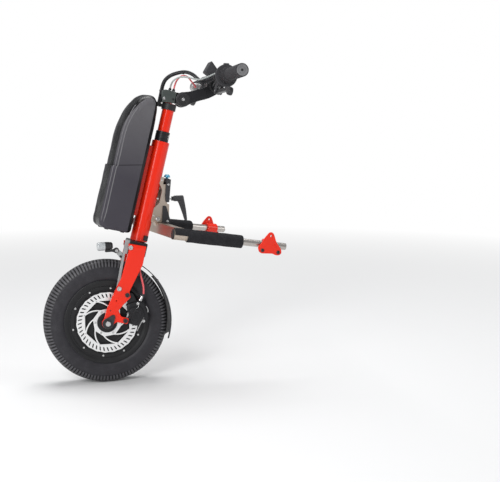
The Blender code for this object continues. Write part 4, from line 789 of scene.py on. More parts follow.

# %% [markdown]
# ## The channel and the headlight
# A pale U-shaped channel in front of the left leg hides the motor cable. Its two edges show as
# bright lines with a dark gap between them, so it is drawn as two pale flanges and a black core
# set back between them; the core's black is painted shade in the gap. Its bracket holds the lamp,
# which tilts on a small screw. The front of the lamp is one clear moulding.

# %% Cable channel
CHANNEL_FRONT = mm((-40, 224.6), (-38.9, 165), (-35.5, 96.5), (-34, 88.5))
channel_rear = mm((-24, 88.5), (-24, 101.5), (-29.5, 101.5), (-32.4, 165), (-33.5, 188),
                  (-28.3, 188), (-28.3, 224.6))
LAMP_PIVOT = (-0.0569, 0.1907)
channel = Piece(FORK)
for y in (-0.0415, -0.0489):
    channel.slab(CHANNEL_FRONT + channel_rear, 0.001, 0.0015, 0.0003, upright(y))
# The core is black plastic, as painted shade inside the channel.
core = [(x + 0.0022, z) for x, z in CHANNEL_FRONT]
channel.add(plate(core + channel_rear, 0.0062, 0.0004), upright(-0.0452), 1)
channel.screw(0.0060, 0.0035, at((CHANNEL_BOLT[0], -BOLT_SEAT, CHANNEL_BOLT[1]), x=90), 2)
ear = mm((-36, 168), (-36, 186), (-54.9, 196.7)) + arc(LAMP_PIVOT, 0.0065, 90, 270, 12)
channel.slab(ear, 0.002, 0.003, 0.0006, upright(-0.0435),
             holes=[ring(LAMP_PIVOT, 0.0023, 16)])
channel.screw(0.0032, 0.0020, at((-0.0425, -0.0449, 0.1776), x=90), 1)
channel.done("cable_channel_and_ear", "fork", "cast_aluminium", [EDGE_GREY, BLACK, STEEL],
             ["cable_channel"])

# %% Headlight
LAMP = FORK @ at((LAMP_PIVOT[0], -0.045, LAMP_PIVOT[1]))
LAMP_AIM = at((-0.0126, 0, 0.0107), y=-107)
lamp = Piece(LAMP)
housing = mm((0, 0), (6, 0), (9.2, 3), (9.9, 6), (9.5, 6.6), (9.5, 7.8), (10.1, 8.4), (10.8, 17),
             (10.8, 19.6), (0, 19.6))
lamp.lathe(housing, 0.0008, 40, LAMP_AIM, bend=3)
foot = mm((-31, -6.5), (-27.5, -10.5), (-10, -5.2), (0, -6.5), (6, -2), (5, 4.5), (0, 6.5),
          (-8, 3.5), (-13.5, 0.5))
lamp.slab(foot, 0.003, 0.0035, 0.0007, upright(-0.0022))
lamp.screw(0.0042, 0.0022, upright(-0.0039), 1)
lamp.add(rod(mm((0, -3, 0), (0, 4, 0)), 0.002), paint=1)
knob = mm((0, 7.5), (6.6, 7.5), (7.5, 6.6), (7.5, 4.3), (6.6, 3.5), (0, 3.5))
lamp.add(turned(knob, 18), AXIS_Y)
lamp.done("lamp_housing", "headlight", "black_plastic", [BLACK, STEEL], ["headlight"])

lens = Piece(LAMP)
front = mm((0, 19.7), (10.7, 19.7), (11, 20.6), (11.2, 29), (11, 37), (9.8, 40), (7, 41.4),
           (4, 41.8), (0, 41.9))
lens.lathe(front, 0.0006, 48, LAMP_AIM, bend=3)
for height in (0.0222, 0.0250, 0.0278):
    lens.add(turned([(0.0108, height), (0.0114, height + 0.0004), (0.0114, height + 0.0009),
                     (0.0108, height + 0.0013)], 48), LAMP_AIM)
lens.done("lamp_front", "headlight", "lamp_lens", [LENS], ["headlight_lens"])

# %% [markdown]
# ## The mudguard
# A short guard sits behind the tyre. It is moulded with a slight crown and shallow grooves, and
# both its ends are cut to a point on each side. A grid of points gives all of that at once: one
# number runs round the wheel and the other across the guard.

# %% Mudguard
GUARD_HALF = 0.034
GUARD_STEPS = 28
ACROSS_STEPS = 34
GROOVES = (5, 6, 11, 12)


def guard_section(share):
    """A closed section of the guard, at a share of its way round the wheel."""
    section = []
    for outer in (True, False):
        for step in range(ACROSS_STEPS + 1):
            across = (2 * step / ACROSS_STEPS - 1) * (1 if outer else -1)
            centre = 1 - abs(across)
            angle = math.radians((-4 + 5 * centre) * (1 - share) + (54 - 4 * centre) * share)
            stripe = round(abs(across) * ACROSS_STEPS / 2)
            groove = 0.0009 if outer and stripe in GROOVES else 0
            radius = (0.1748 if outer else 0.1726) - 0.0026 * across ** 2 - groove
            if abs(across) > 0.97:
                radius -= 0.0012 if outer else 0.0020
            section.append((radius * math.cos(angle), across * GUARD_HALF,
                            radius * math.sin(angle)))
    return section


guard_mesh = bmesh.new()
guard_rows = [[guard_mesh.verts.new(point) for point in guard_section(step / GUARD_STEPS)]
              for step in range(GUARD_STEPS + 1)]
guard = Piece(WHEEL).add(strip(guard_mesh, guard_rows))
stay = arc((0, 0), 0.1745, 46, 74, 12)
stay += mm((52, 185.2), (54, 185.7), (54, 187.7), (26, 187.7), (26, 185.7), (41.5, 185.2))
stay += arc((0, 0), 0.1722, 74.7, 46, 12)
guard.slab(stay, 0.001, 0.024, 0.0006, at(x=90))
for side in (-1, 1):
    rivet = at(y=40) @ at((0, side * 0.007, 0.1742))
    guard.screw(0.0030, 0.0016, rivet, 1)
guard.done("grooved_mudguard", "fork", "black_plastic", [SOFT_BLACK, STEEL], ["mudguard"])

# %% [markdown]
# ## The brake caliper
# The caliper straddles the disc behind the left leg. Two ears carry it, and a hose brings the
# pressure. The body is a casting with a round cap over its piston, two body screws and fins that
# shed the heat. Drawn in a frame that points outwards from the axle, all of this is upright.

# %% Caliper and hose
CALIPER = WHEEL @ at(y=-30.4)
caliper = Piece(CALIPER)
casting = mirrored(mm((59, -22), (66, -31), (97, -31), (106, -20)))
caliper.slab(casting, 0.005, 0.0165, 0.0028, upright(-0.0493))
raised = mirrored(mm((64, -15), (71, -19), (90, -19), (97, -12)))
caliper.slab(raised, 0.004, 0.006, 0.0018, upright(-0.0590))
caliper.box((0.0225, 0.0140, 0.050), 0.002, at((0.09375, -0.0394, 0)))
caliper.box((0.045, 0.0060, 0.048), 0.002, at((0.0815, -0.0352, 0)))
cap = mm((0, 1), (5, 1), (5.8, 2.8), (10.8, 3.2), (11.8, 2.2), (11.8, 0))
caliper.lathe(cap, 0.0005, 40, at((0.079, -0.0616, 0), x=90), bend=3)
for z in (-0.0245, 0.0245):
    caliper.screw(0.0040, 0.0030, at((0.090, -0.0572, z), x=90), 1)
for x in (0.0995, 0.1020, 0.1045):
    caliper.box((0.0011, 0.0120, 0.030), 0.0004, at((x + 0.0008, -0.0500, 0)), 2)
to_fork = CALIPER.inverted() @ FORK
ears = (mm((-2, 10), (32, 8), (32, 24), (-2, 22)),
        mm((-12, 77), (10, 52), (30, 64), (10, 90), (-12, 90)))
for outline in ears:
    caliper.slab(outline, 0.005, 0.006, 0.001, to_fork @ upright(-0.0467))
for x, z in CALIPER_BOLTS:
    caliper.screw(0.0060, 0.0035, to_fork @ at((x, -BOLT_SEAT, z), x=90), 2)
gland = to_fork @ at((0.0335, -0.048, 0.0795), y=14)
caliper.add(turned(mm((0, -10), (5.2, -10), (5.2, -2), (4.2, -1), (4.2, 5), (3.4, 8), (0, 8)), 20),
            gland, 1)
springs = (mm((49.6, -59.8, 64.6), (56, -60, 58), (58.3, -59.8, 50)),
           mm((52, -56, 34), (49.5, -57.5, 29.3), (41, -57.5, -4.9)),
           mm((20.2, -61, 50.6), (27, -61.2, 54), (30.2, -61, 62)))
for route in springs:
    caliper.add(rod(smooth_route(route, 0.004), 0.0009, 8), to_fork, 1)
caliper.done("caliper_casting", "fork", "black_anodised", [ANODISED, STEEL, DARK],
             ["brake_caliper"])

lean = Vector((math.sin(math.radians(14)), 0, math.cos(math.radians(14))))
mouth = Vector((0.0335, -0.048, 0.0795)) + lean * 0.0083
hose_route = [mouth, mouth + lean * 0.004, mouth + lean * 0.008, (0.0325, -0.044, 0.115),
              (0.0160, -0.042, 0.150), (0.0130, -0.040, 0.172), (0.0110, -0.036, 0.1815),
              (0.0105, -0.036, 0.1877)]
hose = Piece(FORK)
hose.add(rod(smooth_route(hose_route, 0.005), 0.0025, 16))
hose.add(rod([mouth, mouth + lean * 0.006], 0.0031, 16), paint=1)
hose.add(rod(mm((10.5, -36, 181.7), (10.5, -36, 187.7)), 0.0032, 16), paint=1)
hose.done("caliper_hose_with_ferrules", "fork", "red_hose", [HOSE_RED, DARK], ["caliper_hose"])

# %% [markdown]
# ## The head tube, the post and the collar
# The red head tube turns on the steerer, the red post slides in it to set the height, and a black
# collar clamps the post. These are plain turned tubes on the real object too. What keeps them from
# looking like stand-ins is the shape of their ends: a chamfer, a groove, a slit and a screw.

# %% Head tube, post and collar
tube = mm((20.5, 225.6), (22.5, 225.6), (23.2, 226.3), (23.2, 232.2), (22.9, 232.5), (23.2, 232.8),
          (23.2, 489.8), (22.9, 490.1), (23.2, 490.4), (23.2, 496.2), (22.4, 497), (20.5, 497))
head = Piece(COLUMN)
head.add(turned(tube, 64, True))
head.box((0.0165, 0.016, 0.190), 0.0018, at((-0.0293, 0, 0.385)))
head.box((0.008, 0.011, 0.014), 0.0015, at(z=-70) @ at((0.02635, 0, 0.2366)), 1)
head.done("red_head_tube", "column", "red_paint", [RED, BLACK], ["head_tube"])

post = Piece(FORK)
post.add(turned(mm((13.5, 430), (15.2, 430), (15.9, 430.7), (15.9, 600), (13.5, 600)), 56, True))
post.done("red_height_post", "bar_post", "red_paint", [RED], ["bar_post"])

band = mm((17.7, 497.3), (18.3, 497.3), (18.7, 497.9), (18.7, 503), (18.1, 503.4), (18.1, 504.2),
          (18.7, 504.6), (18.7, 516.8), (18.1, 517.2), (18.1, 518), (18.7, 518.4), (18.7, 523),
          (17.8, 524), (16.2, 524), (16.2, 521.3), (17.7, 521.3))
collar = Piece(FORK)
collar.add(turned(band, 64, True))
for height in (0.5075, 0.5140):
    collar.screw(0.0026, 0.0012, at(z=-35) @ at((0.0181, 0, height), y=90), 1)
collar.done("clamp_collar", "fork", "black_anodised", [ANODISED, STEEL], ["height_collar"])

# %% [markdown]
# ## The battery bag
# The battery hangs in a sewn bag with black coated cloth over its front and top, and charcoal
# cloth on its sides. A seam runs round it at mid height, where the hood slips into the pocket.
# The bag could be made by simulating inflated cloth. A padded battery holds it tight, though, so
# its form is known, and a loft with vertex moves for the seam and the creases gives it directly.
# Rings of points run parallel to the sewn edge of each side.

# %% Bag
BAG_OUTLINE = mm((-38.5, 241.5), (-80, 241.2), (-109.5, 241.2), (-119, 247.6), (-123, 260),
                 (-123, 305), (-123, 350), (-123, 400), (-123, 450), (-122.6, 495),
                 (-120.4, 515.1), (-116.8, 534.2), (-111.2, 556.9), (-102, 578.1), (-90.5, 593.1),
                 (-78, 602.8), (-66.5, 606.6), (-55, 604.8), (-46.8, 598.5), (-41.2, 589),
                 (-38.5, 575), (-38.5, 480), (-38.5, 360))
BAG_HALF = 0.0388
SEAM = 0.4056
SEAM_HALF = 0.0006
SEAM_SLOPE = 0.244
POCKET_STEP = 0.0042


def spaced(outline, spacing):
    """The same closed outline, with points at an even distance."""
    loop = [Vector(point) for point in outline + outline[:1]]
    lengths = [(b - a).length for a, b in zip(loop, loop[1:])]
    count = round(sum(lengths) / spacing)
    result = []
    for index in range(count):
        travel = sum(lengths) * index / count
        leg = 0
        while travel > lengths[leg]:
            travel -= lengths[leg]
            leg += 1
        result.append(loop[leg].lerp(loop[leg + 1], travel / lengths[leg]))
    return result


def eased(value, low, high):
    share = min(1, max(0, (value - low) / (high - low)))
    return share * share * (3 - 2 * share)


def corner_radius(point):
    """How round the sewn corner is: wide on top, narrow below."""
    above = eased(point.y, 0.52, 0.60)
    below = 1 - eased(point.y, 0.245, 0.285)
    return 0.0125 + 0.0080 * above - 0.0035 * below


bag_loop = spaced(rounded(BAG_OUTLINE, 0.012, True, 6), 0.0033)
bag_area = sum(a.x * b.y - a.y * b.x for a, b in zip(bag_loop, bag_loop[1:] + bag_loop[:1]))
if bag_area < 0:
    bag_loop.reverse()
in_front = [point for point in bag_loop if point.x < -0.115]
below_seam = [point for point in in_front if point.y < SEAM]
above_seam = [point for point in in_front if point.y > SEAM]
max(below_seam, key=lambda point: point.y).y = SEAM - SEAM_HALF
min(above_seam, key=lambda point: point.y).y = SEAM + SEAM_HALF
CORNER_STEPS = 8
SIDE_STEPS = 9
bag_rings = []
for level in range(CORNER_STEPS + SIDE_STEPS + 1):
    row = []
    quarter = math.radians(90 * min(level, CORNER_STEPS) / CORNER_STEPS)
    inner = 0.96 * max(0, level - CORNER_STEPS) / SIDE_STEPS
    for point, moved in zip(bag_loop, inset(bag_loop, 1.0)):
        radius = corner_radius(point)
        place = point + (moved - point) * radius * (1 - math.cos(quarter))
        across = BAG_HALF - radius + radius * math.sin(quarter)
        spine = Vector((-0.081, min(0.54, max(0.29, point.y))))
        row.append((place.lerp(spine, inner), across))
    bag_rings.append(row)
print("bag outline", len(bag_loop), "points in", len(bag_rings), "rings")


# %% Bag shape
def bag_point(place, across, side):
    """A point of the bag with the step at its seam and its creases."""
    x, z = place
    pocket = 1 - eased(z, SEAM - SEAM_HALF, SEAM + SEAM_HALF)
    front = 1 - eased(x, -0.120, -0.109)
    x -= POCKET_STEP * pocket * front
    spot = Vector((x, side * across, z))
    loose = 0.25 + 0.5 * front + 0.9 * eased(z, 0.53, 0.59)
    crease = noise.noise(spot * 24 + Vector((3, 1, 7))) * 0.0016
    crease += noise.noise(spot * 75 + Vector((9, 4, 2))) * 0.0007
    outward = Vector((x + 0.081, side * across * 1.6, (z - 0.42) * 0.25)).normalized()
    return spot + outward * crease * loose


bag_mesh = bmesh.new()
bag_rows = []
for side in (-1, 1):
    rows = [[bag_mesh.verts.new(bag_point(*entry, side)) for entry in row] for row in bag_rings]
    bag_rows.append(rows)
middle_rows = []
for step in range(1, 12):
    width = 1 - 2 * step / 12
    middle_rows.append([bag_mesh.verts.new(bag_point(place, across * width, -1))
                        for place, across in bag_rings[0]])
skin(bag_mesh, bag_rows[0][::-1] + middle_rows + bag_rows[1])
bmesh.ops.holes_fill(bag_mesh, edges=[edge for edge in bag_mesh.edges if edge.is_boundary])
bag = Piece(COLUMN).add(bag_mesh)
for level, thickness in ((3, 0.0011), (6, 0.0014)):
    for side in (-1, 1):
        line = [bag_point(*entry, side) for entry in bag_rings[level]]
        line = sorted((spot for spot in line if spot.x < -0.092 and 0.258 < spot.z < 0.575),
                      key=lambda spot: spot.z)
        bag.add(rod(line, [min(thickness, 0.0004 + 0.0003 * min(index, len(line) - 1 - index))
                           for index in range(len(line))], 8), paint=1)
foot = mm((0, 0), (4.8, 0), (5.8, 1), (6, 3), (0, 3))
for x in (-0.060, -0.104):
    for side in (-1, 1):
        bag.lathe(foot, 0.0006, 20, at((x, side * 0.026, 0.2396)), 2)

# %% [markdown]
# One finish carries both cloths of the bag. The border between them is a distance from the bag's
# middle, which is wider in front than on top. The seam and the rear edge are drawn the same way.
# The side cloth is painted lighter towards the top: painted light, not a change of cloth.

# %% Bag cloth
CHARCOAL = cloth("bag_cloth", (0.056, 0.053, 0.063), 0.60, 0.0016, 0.0003, 0.0)
CHARCOAL.set(Specular_IOR_Level=0.06, Coat_Roughness=0.22)
x, y, z = CHARCOAL.axes()
front = 1 - x.fade(-0.118, -0.100)
border = front * (1 - z.fade(0.50, 0.57)) * 0.0105 + 0.0045
side_cloth = (y.maths("ABSOLUTE", y) - BAG_HALF + border).fade(-0.0003, 0.0003)
side_cloth = side_cloth * (1 - x.fade(-0.0512, -0.0504))
seam_gap = z - (x + 0.126) * SEAM_SLOPE - SEAM
seam = 1 - seam_gap.maths("ABSOLUTE", seam_gap).fade(0.0006, 0.0014)
# Painted light: the side cloth goes from darker below to lighter on top.
painted_top_light = CHARCOAL.mix(z.fade(0.38, 0.56), (0.064, 0.060, 0.072), (0.130, 0.126, 0.135))
worn = CHARCOAL.mix(CHARCOAL.noise(30, 4), (0.004, 0.004, 0.005), (0.010, 0.010, 0.011))
both = CHARCOAL.mix(side_cloth, worn, painted_top_light)
wet_look = CHARCOAL.noise(26, 3, (1, 1, 0.35)).fade(0.46, 0.60)
CHARCOAL.set(Base_Color=CHARCOAL.mix(seam * 0.8, both, (0.01, 0.01, 0.011)),
             Roughness=side_cloth * 0.32 + 0.28, Coat_Weight=(1 - side_cloth) * wet_look * 0.5)
# The piping rods are real piping; their colour, paler than the cloth, is a painted highlight along
# the front corner.
PIPING_PAINTED_HIGHLIGHT = cloth("piping_painted_highlight", (0.125, 0.122, 0.130), 0.5, 0.0012, 0.0002, 0.05)
bag_item = bag.done("battery_bag_cloth", "column", "black_fabric", [CHARCOAL, PIPING_PAINTED_HIGHLIGHT, BLACK],
                    ["battery_bag"], even=False)

# %% [markdown]
# ## The latch behind the column
# Two bare metal plates stand behind the head tube. Between and around them sit the pivot pin, a
# black release handle with a blue button, and a screw with an adjustable lever. The plates are
# cut from sheet, the handle is folded round them, and the lever is a moulded blade on a hub.

# %% Bracket and pivot pin
PIVOT = (0.033, 0.293)
HANDLE_TOP = (0.0405, 0.390)
BRACKET_OUTLINE = mm((15.5, 282.2), (46, 286.8), (50, 292.5), (66.5, 295.5), (56.7, 339),
                     (50.4, 339), (42.2, 393), (39, 393), (31, 386.5), (26.2, 386.5), (26.2, 406),
                     (15.5, 406), (15.5, 388), (27.5, 372), (27.5, 336), (15.5, 320))
bracket = Piece(COLUMN)
for side in (-1, 1):
    bracket.slab(BRACKET_OUTLINE, 0.0022, 0.004, 0.0007, upright(side * 0.015),
                 holes=[ring(PIVOT, 0.0043, 24), ring(HANDLE_TOP, 0.0023, 16)])
bracket.box((0.0075, 0.027, 0.016), 0.0012, at((0.0298, 0, 0.381)))
bracket.box((0.0065, 0.027, 0.014), 0.0012, at((0.0293, 0, 0.316)))
bracket.box((0.0080, 0.027, 0.018), 0.0012, at((0.0420, 0, 0.3515)))
for z in (0.300, 0.347, 0.397):
    bracket.screw(0.0028, 0.0012, at((0.0205, -0.0169, z), x=90), 1)
bracket.done("latch_bracket", "column", "frame_metal", [BARE, STEEL], ["dock_bracket"])

pin = Piece(COLUMN @ at((PIVOT[0], 0, PIVOT[1])))
shaft = mm((0, 21.9), (3.2, 21.9), (4, 20.6), (4, -17), (6, -17.3), (6, -20.5), (5.2, -21.4),
           (3, -21.4), (2.6, -20), (0, -20))
pin.lathe(shaft, 0.0003, 36, AXIS_Y)
pin.done("latch_pivot_pin", "column", "bright_steel", [STEEL], ["dock_pivot_pin"])

# %% Release handle and button
HANDLE = COLUMN @ at((HANDLE_TOP[0], 0, HANDLE_TOP[1]), y=-9.07)
handle = Piece(HANDLE)
cheek = mm((-6.25, 14.5), (6.25, 14.5), (6.25, -30), (5.2, -47.6), (-3.4, -47.6), (-6.25, -30))
for side in (-1, 1):
    handle.slab(cheek, 0.003, 0.0028, 0.0008, upright(side * 0.0187),
                holes=[ring((0, 0), 0.0020, 16)])
    handle.box((0.0033, 0.0125, 0.0260), 0.0010, at((0.0046, side * 0.0138, -0.0346)))
    handle.screw(0.0030, 0.0010, at((0, side * 0.0200, 0), x=side * -90), 1)
handle.box((0.0125, 0.0401, 0.0100), 0.0024, at((0, 0, 0.0095)))
handle.box((0.0033, 0.0360, 0.0300), 0.0010, at((0.0046, 0, -0.0080)))
collar_of_button = mm((4, 13.8), (7, 13.8), (7, 14.5), (6.6, 14.8), (4, 14.8))
handle.add(turned(collar_of_button, 32, True), at((0.0018, 0, 0)))
handle.done("folded_release_handle", "release_handle", "black_plastic", [SOFT_BLACK, STEEL],
            ["release_handle"])

button = Piece(HANDLE @ at((0.0018, 0, 0.0145)))
dome = mm((0, 12), (4, 11.3), (7, 9), (8.3, 6), (8.8, 4.6), (8.8, 3.5), (3.5, 3.5), (3.5, -4.5),
          (0, -4.5))
button.lathe(dome, 0.0008, 36, bend=3)
button.done("blue_push_button", "release_button", "blue_plastic", [BLUE], ["release_button"])

# %% Clamp lever
LEVER = at(JOINTS["clamp_lever_turn"]["pos_m"])
lever = Piece(LEVER)
hub_profile = mm((0, 34), (6, 34), (7.4, 33), (7.8, 31), (7.8, 9), (7.2, 7), (5.8, 5.5), (5.8, 0),
                 (3, 0), (3, -24), (0, -24))
lever.lathe(hub_profile, 0.0006, 36, AXIS_X, bend=3)
blade = mm((14, -3), (20.5, -12), (31, -40), (37.2, -60), (41, -63), (44.7, -60), (42.5, -38),
           (38.5, -14), (34.5, 4), (16, 4))
lever.slab(blade, 0.005, 0.0090, 0.0030, at(x=90))
lever.add(rod(mm((-19.5, 0, 0), (1, 0, 0)), 0.0032, 20), paint=1)
lever.screw(0.0045, 0.0010, at((0.0336, 0, 0), y=90), 1)
lever.done("adjustable_clamp_lever", "clamp_lever", "black_plastic", [SOFT_BLACK, STEEL],
           ["clamp_lever"])

# %% [markdown]
# ## The docking frame
# A square crossbar is welded between two round tubes. The tubes point forwards, with black plugs
# in their ends and foam sleeves round their rear part. Rods slide out of them and carry red
# plates, which bolt to the wheelchair. The weld seams are low rings of the same metal.

# %% Welded frame
pivot_in_dock = DOCK.inverted() @ Vector(JOINTS["dock_tilt"]["pos_m"])
LUG_CENTRE = (pivot_in_dock.x, pivot_in_dock.z)
dock = Piece(DOCK)
dock.box((0.030, 0.272, 0.030), 0.0022)
lug = arc(LUG_CENTRE, 0.0072, 20, 200, 14) + mm((-14, 2), (3, 2), (3, 15))
dock.slab(lug, 0.0015, 0.020, 0.0009, at(x=90), holes=[ring(LUG_CENTRE, 0.0043, 24)])
for side, word in SIDES:
    arm = DOCK.inverted() @ arm_frame(side)
    tube = mm((9.5, -18.5), (13.2, -18.5), (13.8, -17.8), (13.8, 159.2), (13.2, 160), (9.5, 160))
    dock.add(turned(tube, 48, True), arm @ AXIS_X)
    weld = [Vector((0.0156 + side * -0.18 * y, y, z)) for y, z in ring((0, 0), 0.0142, 40)]
    bead = [spot + Vector((0.0004 * math.sin(index * 2.1), 0, 0))
            for index, spot in enumerate(weld)]
    dock.add(rod(bead + bead[:1], 0.0015, 8), arm)
for side in (-1, 1):
    seam = [(-0.0145, side * 0.0102, 0.0150), (-0.0060, side * 0.0103, 0.0154),
            (0.0030, side * 0.0102, 0.0152)]
    dock.add(rod(smooth_route(seam, 0.002), 0.0011, 8))
dock.done("welded_docking_frame", "dock_frame", "frame_metal", [BARE], ["dock_frame"])

catch = Piece(DOCK)
fork_side = mm((-4, 15.3), (18.5, 15.3), (16.8, 29.3), (1.6, 61.3), (-7.5, 61.3))
for side in (-1, 1):
    catch.slab(fork_side, 0.0025, 0.0028, 0.0007, upright(side * 0.0187))
    catch.screw(0.0032, 0.0012, at((0.0105, side * 0.0200, 0.0215), x=side * -90), 1)
catch.box((0.014, 0.0360, 0.0022), 0.0008, at((0.0105, 0, 0.0165)))
catch.done("forked_catch", "dock_frame", "dark_metal", [DARK, STEEL], ["lock_arm"])

# %% Arms
PLATE_OUTLINE = mm((222.8, 27.5), (226.2, 31.8), (231.6, 33.6), (236.8, 31.6), (240.2, 26.8),
                   (248.8, 9.5), (266, -9), (269, -19), (263, -25.5), (252, -26.2), (243, -22.5),
                   (209, -24.5), (202, -19.5), (198.5, -8), (206, 0), (215, 17))
PLATE_BOLTS = {"front_bolt": (0.2107, -0.0157), "rear_bolt": (0.2576, -0.0177)}
BOLT = mm((0, 0.6), (2, 0.6), (2.4, 2.1), (3.7, 2), (4.6, 1.2), (5, 0.2), (3, 0), (3, -9.8),
          (0, -9.8))
FOAM_BORE = 0.0141
FOAM_RADIUS = 0.0172
FOAM_START = 0.019
FOAM_LENGTH = 0.142
FOAM_STEPS = 40
PLATE_HOLES = [ring((0.2316, 0.0232), 0.0026, 20)]
PLATE_HOLES += [ring(spot, 0.0033, 20) for spot in PLATE_BOLTS.values()]


def foam_sleeve(side, word):
    """A foam tube, a little uneven; its front is slit where the crossbar meets the arm."""
    sleeve = Piece(arm_frame(side))
    profile = mm((14.1, 17.2), (16.3, 17.2), (17.1, 17.8), (17.2, 19))
    profile += [(FOAM_RADIUS, FOAM_START + FOAM_LENGTH * step / FOAM_STEPS)
                for step in range(1, FOAM_STEPS)]
    profile += mm((17.2, 161.8), (16.9, 163.8), (15.8, 165), (14.1, 165))
    shape = turned(profile, 48, True)
    half = bmesh.new()
    rows = []
    for place, radius in mm((-18, 16), (-17.6, 16.9), (-16.6, 17.2), (0, 17.2), (17.2, 17.2)):
        section = arc((0, 0), radius, 180, 360, 25) + arc((0, 0), FOAM_BORE, 360, 180, 25)
        rows.append([half.verts.new((x, -side * y, place)) for y, x in section])
    strip(half, rows)
    for vert in shape.verts:
        if vert.co.xy.length > 0.0150:
            swell = noise.noise(vert.co * 45 + Vector((side * 5, 2, 8))) * 0.0007
            vert.co.xy += vert.co.xy.normalized() * swell
    sleeve.add(shape, AXIS_X)
    sleeve.add(half, AXIS_X)
    item = sleeve.done(f"foam_sleeve_{word}", "dock_frame", "black_foam", [FOAM],
                       [f"arm_sleeve_{word}"], even=False)


for side, word in SIDES:
    arm = arm_frame(side)
    plug = mm((0, -22.5), (10, -23), (12.2, -22.8), (13.8, -21.2), (13.8, -19), (9.2, -18.8),
              (9.2, -5), (0, -5))
    stopper = Piece(arm).lathe(plug, 0.0008, 36, AXIS_X, bend=3)
    stopper.done(f"tube_plug_{word}", "dock_frame", "black_plastic", [BLACK], [f"arm_plug_{word}"])
    foam_sleeve(side, word)
    bar = mm((0, 286), (8, 286), (9.2, 284.8), (9.2, 270), (8.9, 269.7), (9.2, 269.4), (9.2, 24),
             (0, 24))
    sliding = Piece(arm).add(turned(bar, 40), AXIS_X)
    sliding.done(f"sliding_rod_{word}", f"rod_{word}", "bright_steel", [ROD_STEEL],
                 [f"arm_rod_{word}"])
    clamp = Piece(DOCK)
    clamp.slab(PLATE_OUTLINE, 0.004, 0.006, 0.0010, upright(side * 0.2005), holes=PLATE_HOLES)
    middle = sum(spot[0] for spot in PLATE_BOLTS.values()) / 2 / math.cos(math.radians(ARM_SPREAD))
    boss = mirrored(mm((9.5, -17), (13.7, -17), (14.5, -16.2)))
    clamp.add(turned(boss, 40, True), DOCK.inverted() @ arm @ at((middle, 0, 0)) @ AXIS_X)
    clamp.screw(0.0026, 0.0010, DOCK.inverted() @ arm @ at((middle, 0, -0.0142), x=180), 1)
    clamp.done(f"red_clamp_plate_{word}", f"rod_{word}", "red_paint", [RED, STEEL],
               [f"frame_plate_{word}"])
    for name, spot in PLATE_BOLTS.items():
        bolt = Piece(DOCK @ at((spot[0], side * 0.2038, spot[1]), x=side * -90))
        bolt.lathe(BOLT, 0.0003, 28)
        bolt.done(f"button_head_{name}_{word}", f"rod_{word}", "bright_steel", [DARK],
                  [f"{name}_{word}"])

# %% [markdown]
# ## The steering head
# A clamped block tops the post. The stem tilts on it round a large pivot with turned rings, and
# its end clamps the handlebar. The block is milled, so it is built from milled plates: two cheeks
# that leave a groove in front for the cables, a core, and a pale strip on top.

# %% Stem block
block_side = mm((-30, 622), (-22.8, 598.5), (9.5, 603), (9.5, 630), (6, 632.5), (-20, 632.5),
                (-28.5, 629.5))
core_side = mm((-22, 622), (-20.5, 598.5), (9.3, 603), (9.3, 629), (6, 631), (-21.5, 631))
head_block = Piece(FORK)
for side in (-1, 1):
    head_block.slab(block_side, 0.0025, 0.0134, 0.0014, upright(side * 0.0133))
head_block.slab(core_side, 0.002, 0.0140, 0.0006, at(x=90))
head_block.box((0.0270, 0.0385, 0.0028), 0.0009, at((-0.0080, 0, 0.6313)), 1)
head_block.add(turned(mm((16.2, 582.2), (18.6, 582.2), (19.1, 582.7), (19.1, 598.4), (18.6, 599),
                         (16.2, 599)), 56, True), paint=2)
pivot_lug = mm((2, 632.2), (29.9, 634.5)) + arc((0.0299, 0.6181), 0.0164, 80, -80, 16)
pivot_lug += mm((29.9, 601.8), (2, 606.1))
head_block.slab(pivot_lug, 0.001, 0.0186, 0.0008, at(x=90), 2)
for x in (-0.0075, 0.0025):
    grommet = mm((0, 631), (4.2, 631), (4.2, 637.5), (3.4, 638.6), (3, 640.8), (0, 640.8))
    head_block.lathe(grommet, 0.0003, 20, at((x, 0, 0)), 2)
head_block.add(turned(mm((0, 586.2), (7, 586.2), (7, 595), (6.2, 596.9), (0, 596.9)), 24),
               at((-0.029, 0, 0)), 2)
head_block.box((0.0140, 0.0100, 0.0088), 0.0012, at((-0.0220, 0, 0.5910)), 2)
head_block.screw(0.0038, 0.0022, at((-0.0205, -0.0199, 0.6085), x=90), 3)
head_block.screw(0.0030, 0.0014, at((0.0040, -0.0199, 0.6120), x=90), 2)
head_block.done("milled_stem_block", "bar_post", "dark_metal",
                [BLOCK_GREY, EDGE_GREY, BLACK, STEEL], ["stem_block"])

# %% Stem arm and faceplate
arm_side = arc((0, 0), 0.0195, 62, 285, 34)
arm_side += mm((16.5, -17.4), (41, -19.2), (66.2, -22.2), (78.2, -21.5), (91, -20), (91, 24),
               (79.7, 23.5), (73.7, 8.8), (52.6, 9.5), (25, 13))
stem_core = mm((21.5, -16.8), (41, -18.2), (66.2, -21.2), (78.2, -20.5), (90.5, -19), (90.5, 23),
               (80.1, 22.5), (74.1, 7.8), (52.6, 8.5), (21.5, 12))
stem = Piece(STEM)
for side in (-1, 1):
    stem.slab(arm_side, 0.002, 0.0102, 0.0016, upright(side * 0.0149))
    rings = mm((0, 0.2), (6, 0.2), (6.6, 1.6), (9.2, 1.6), (9.8, 0.2), (11.8, 0.2), (12.4, 1.6),
               (15, 1.6), (15.6, 0.3), (17.6, 0.3), (18, 0))
    stem.lathe(rings, 0.0002, 56, at((0, side * 0.0199, 0), x=side * -90), 2)
    stem.screw(0.0044, 0.0016, at((0, side * 0.0203, 0), x=side * -90), 1)
    panel = mm((27, -14.5), (64, -17.5), (66, 5.2), (28.5, 8))
    stem.slab(panel, 0.003, 0.0016, 0.0006, upright(side * 0.0199))
stem.slab(stem_core, 0.002, 0.0210, 0.0006, at(x=90))
stem.done("tilting_stem_arm", "stem", "black_anodised", [ANODISED, STEEL, DARK], ["stem_arm"])

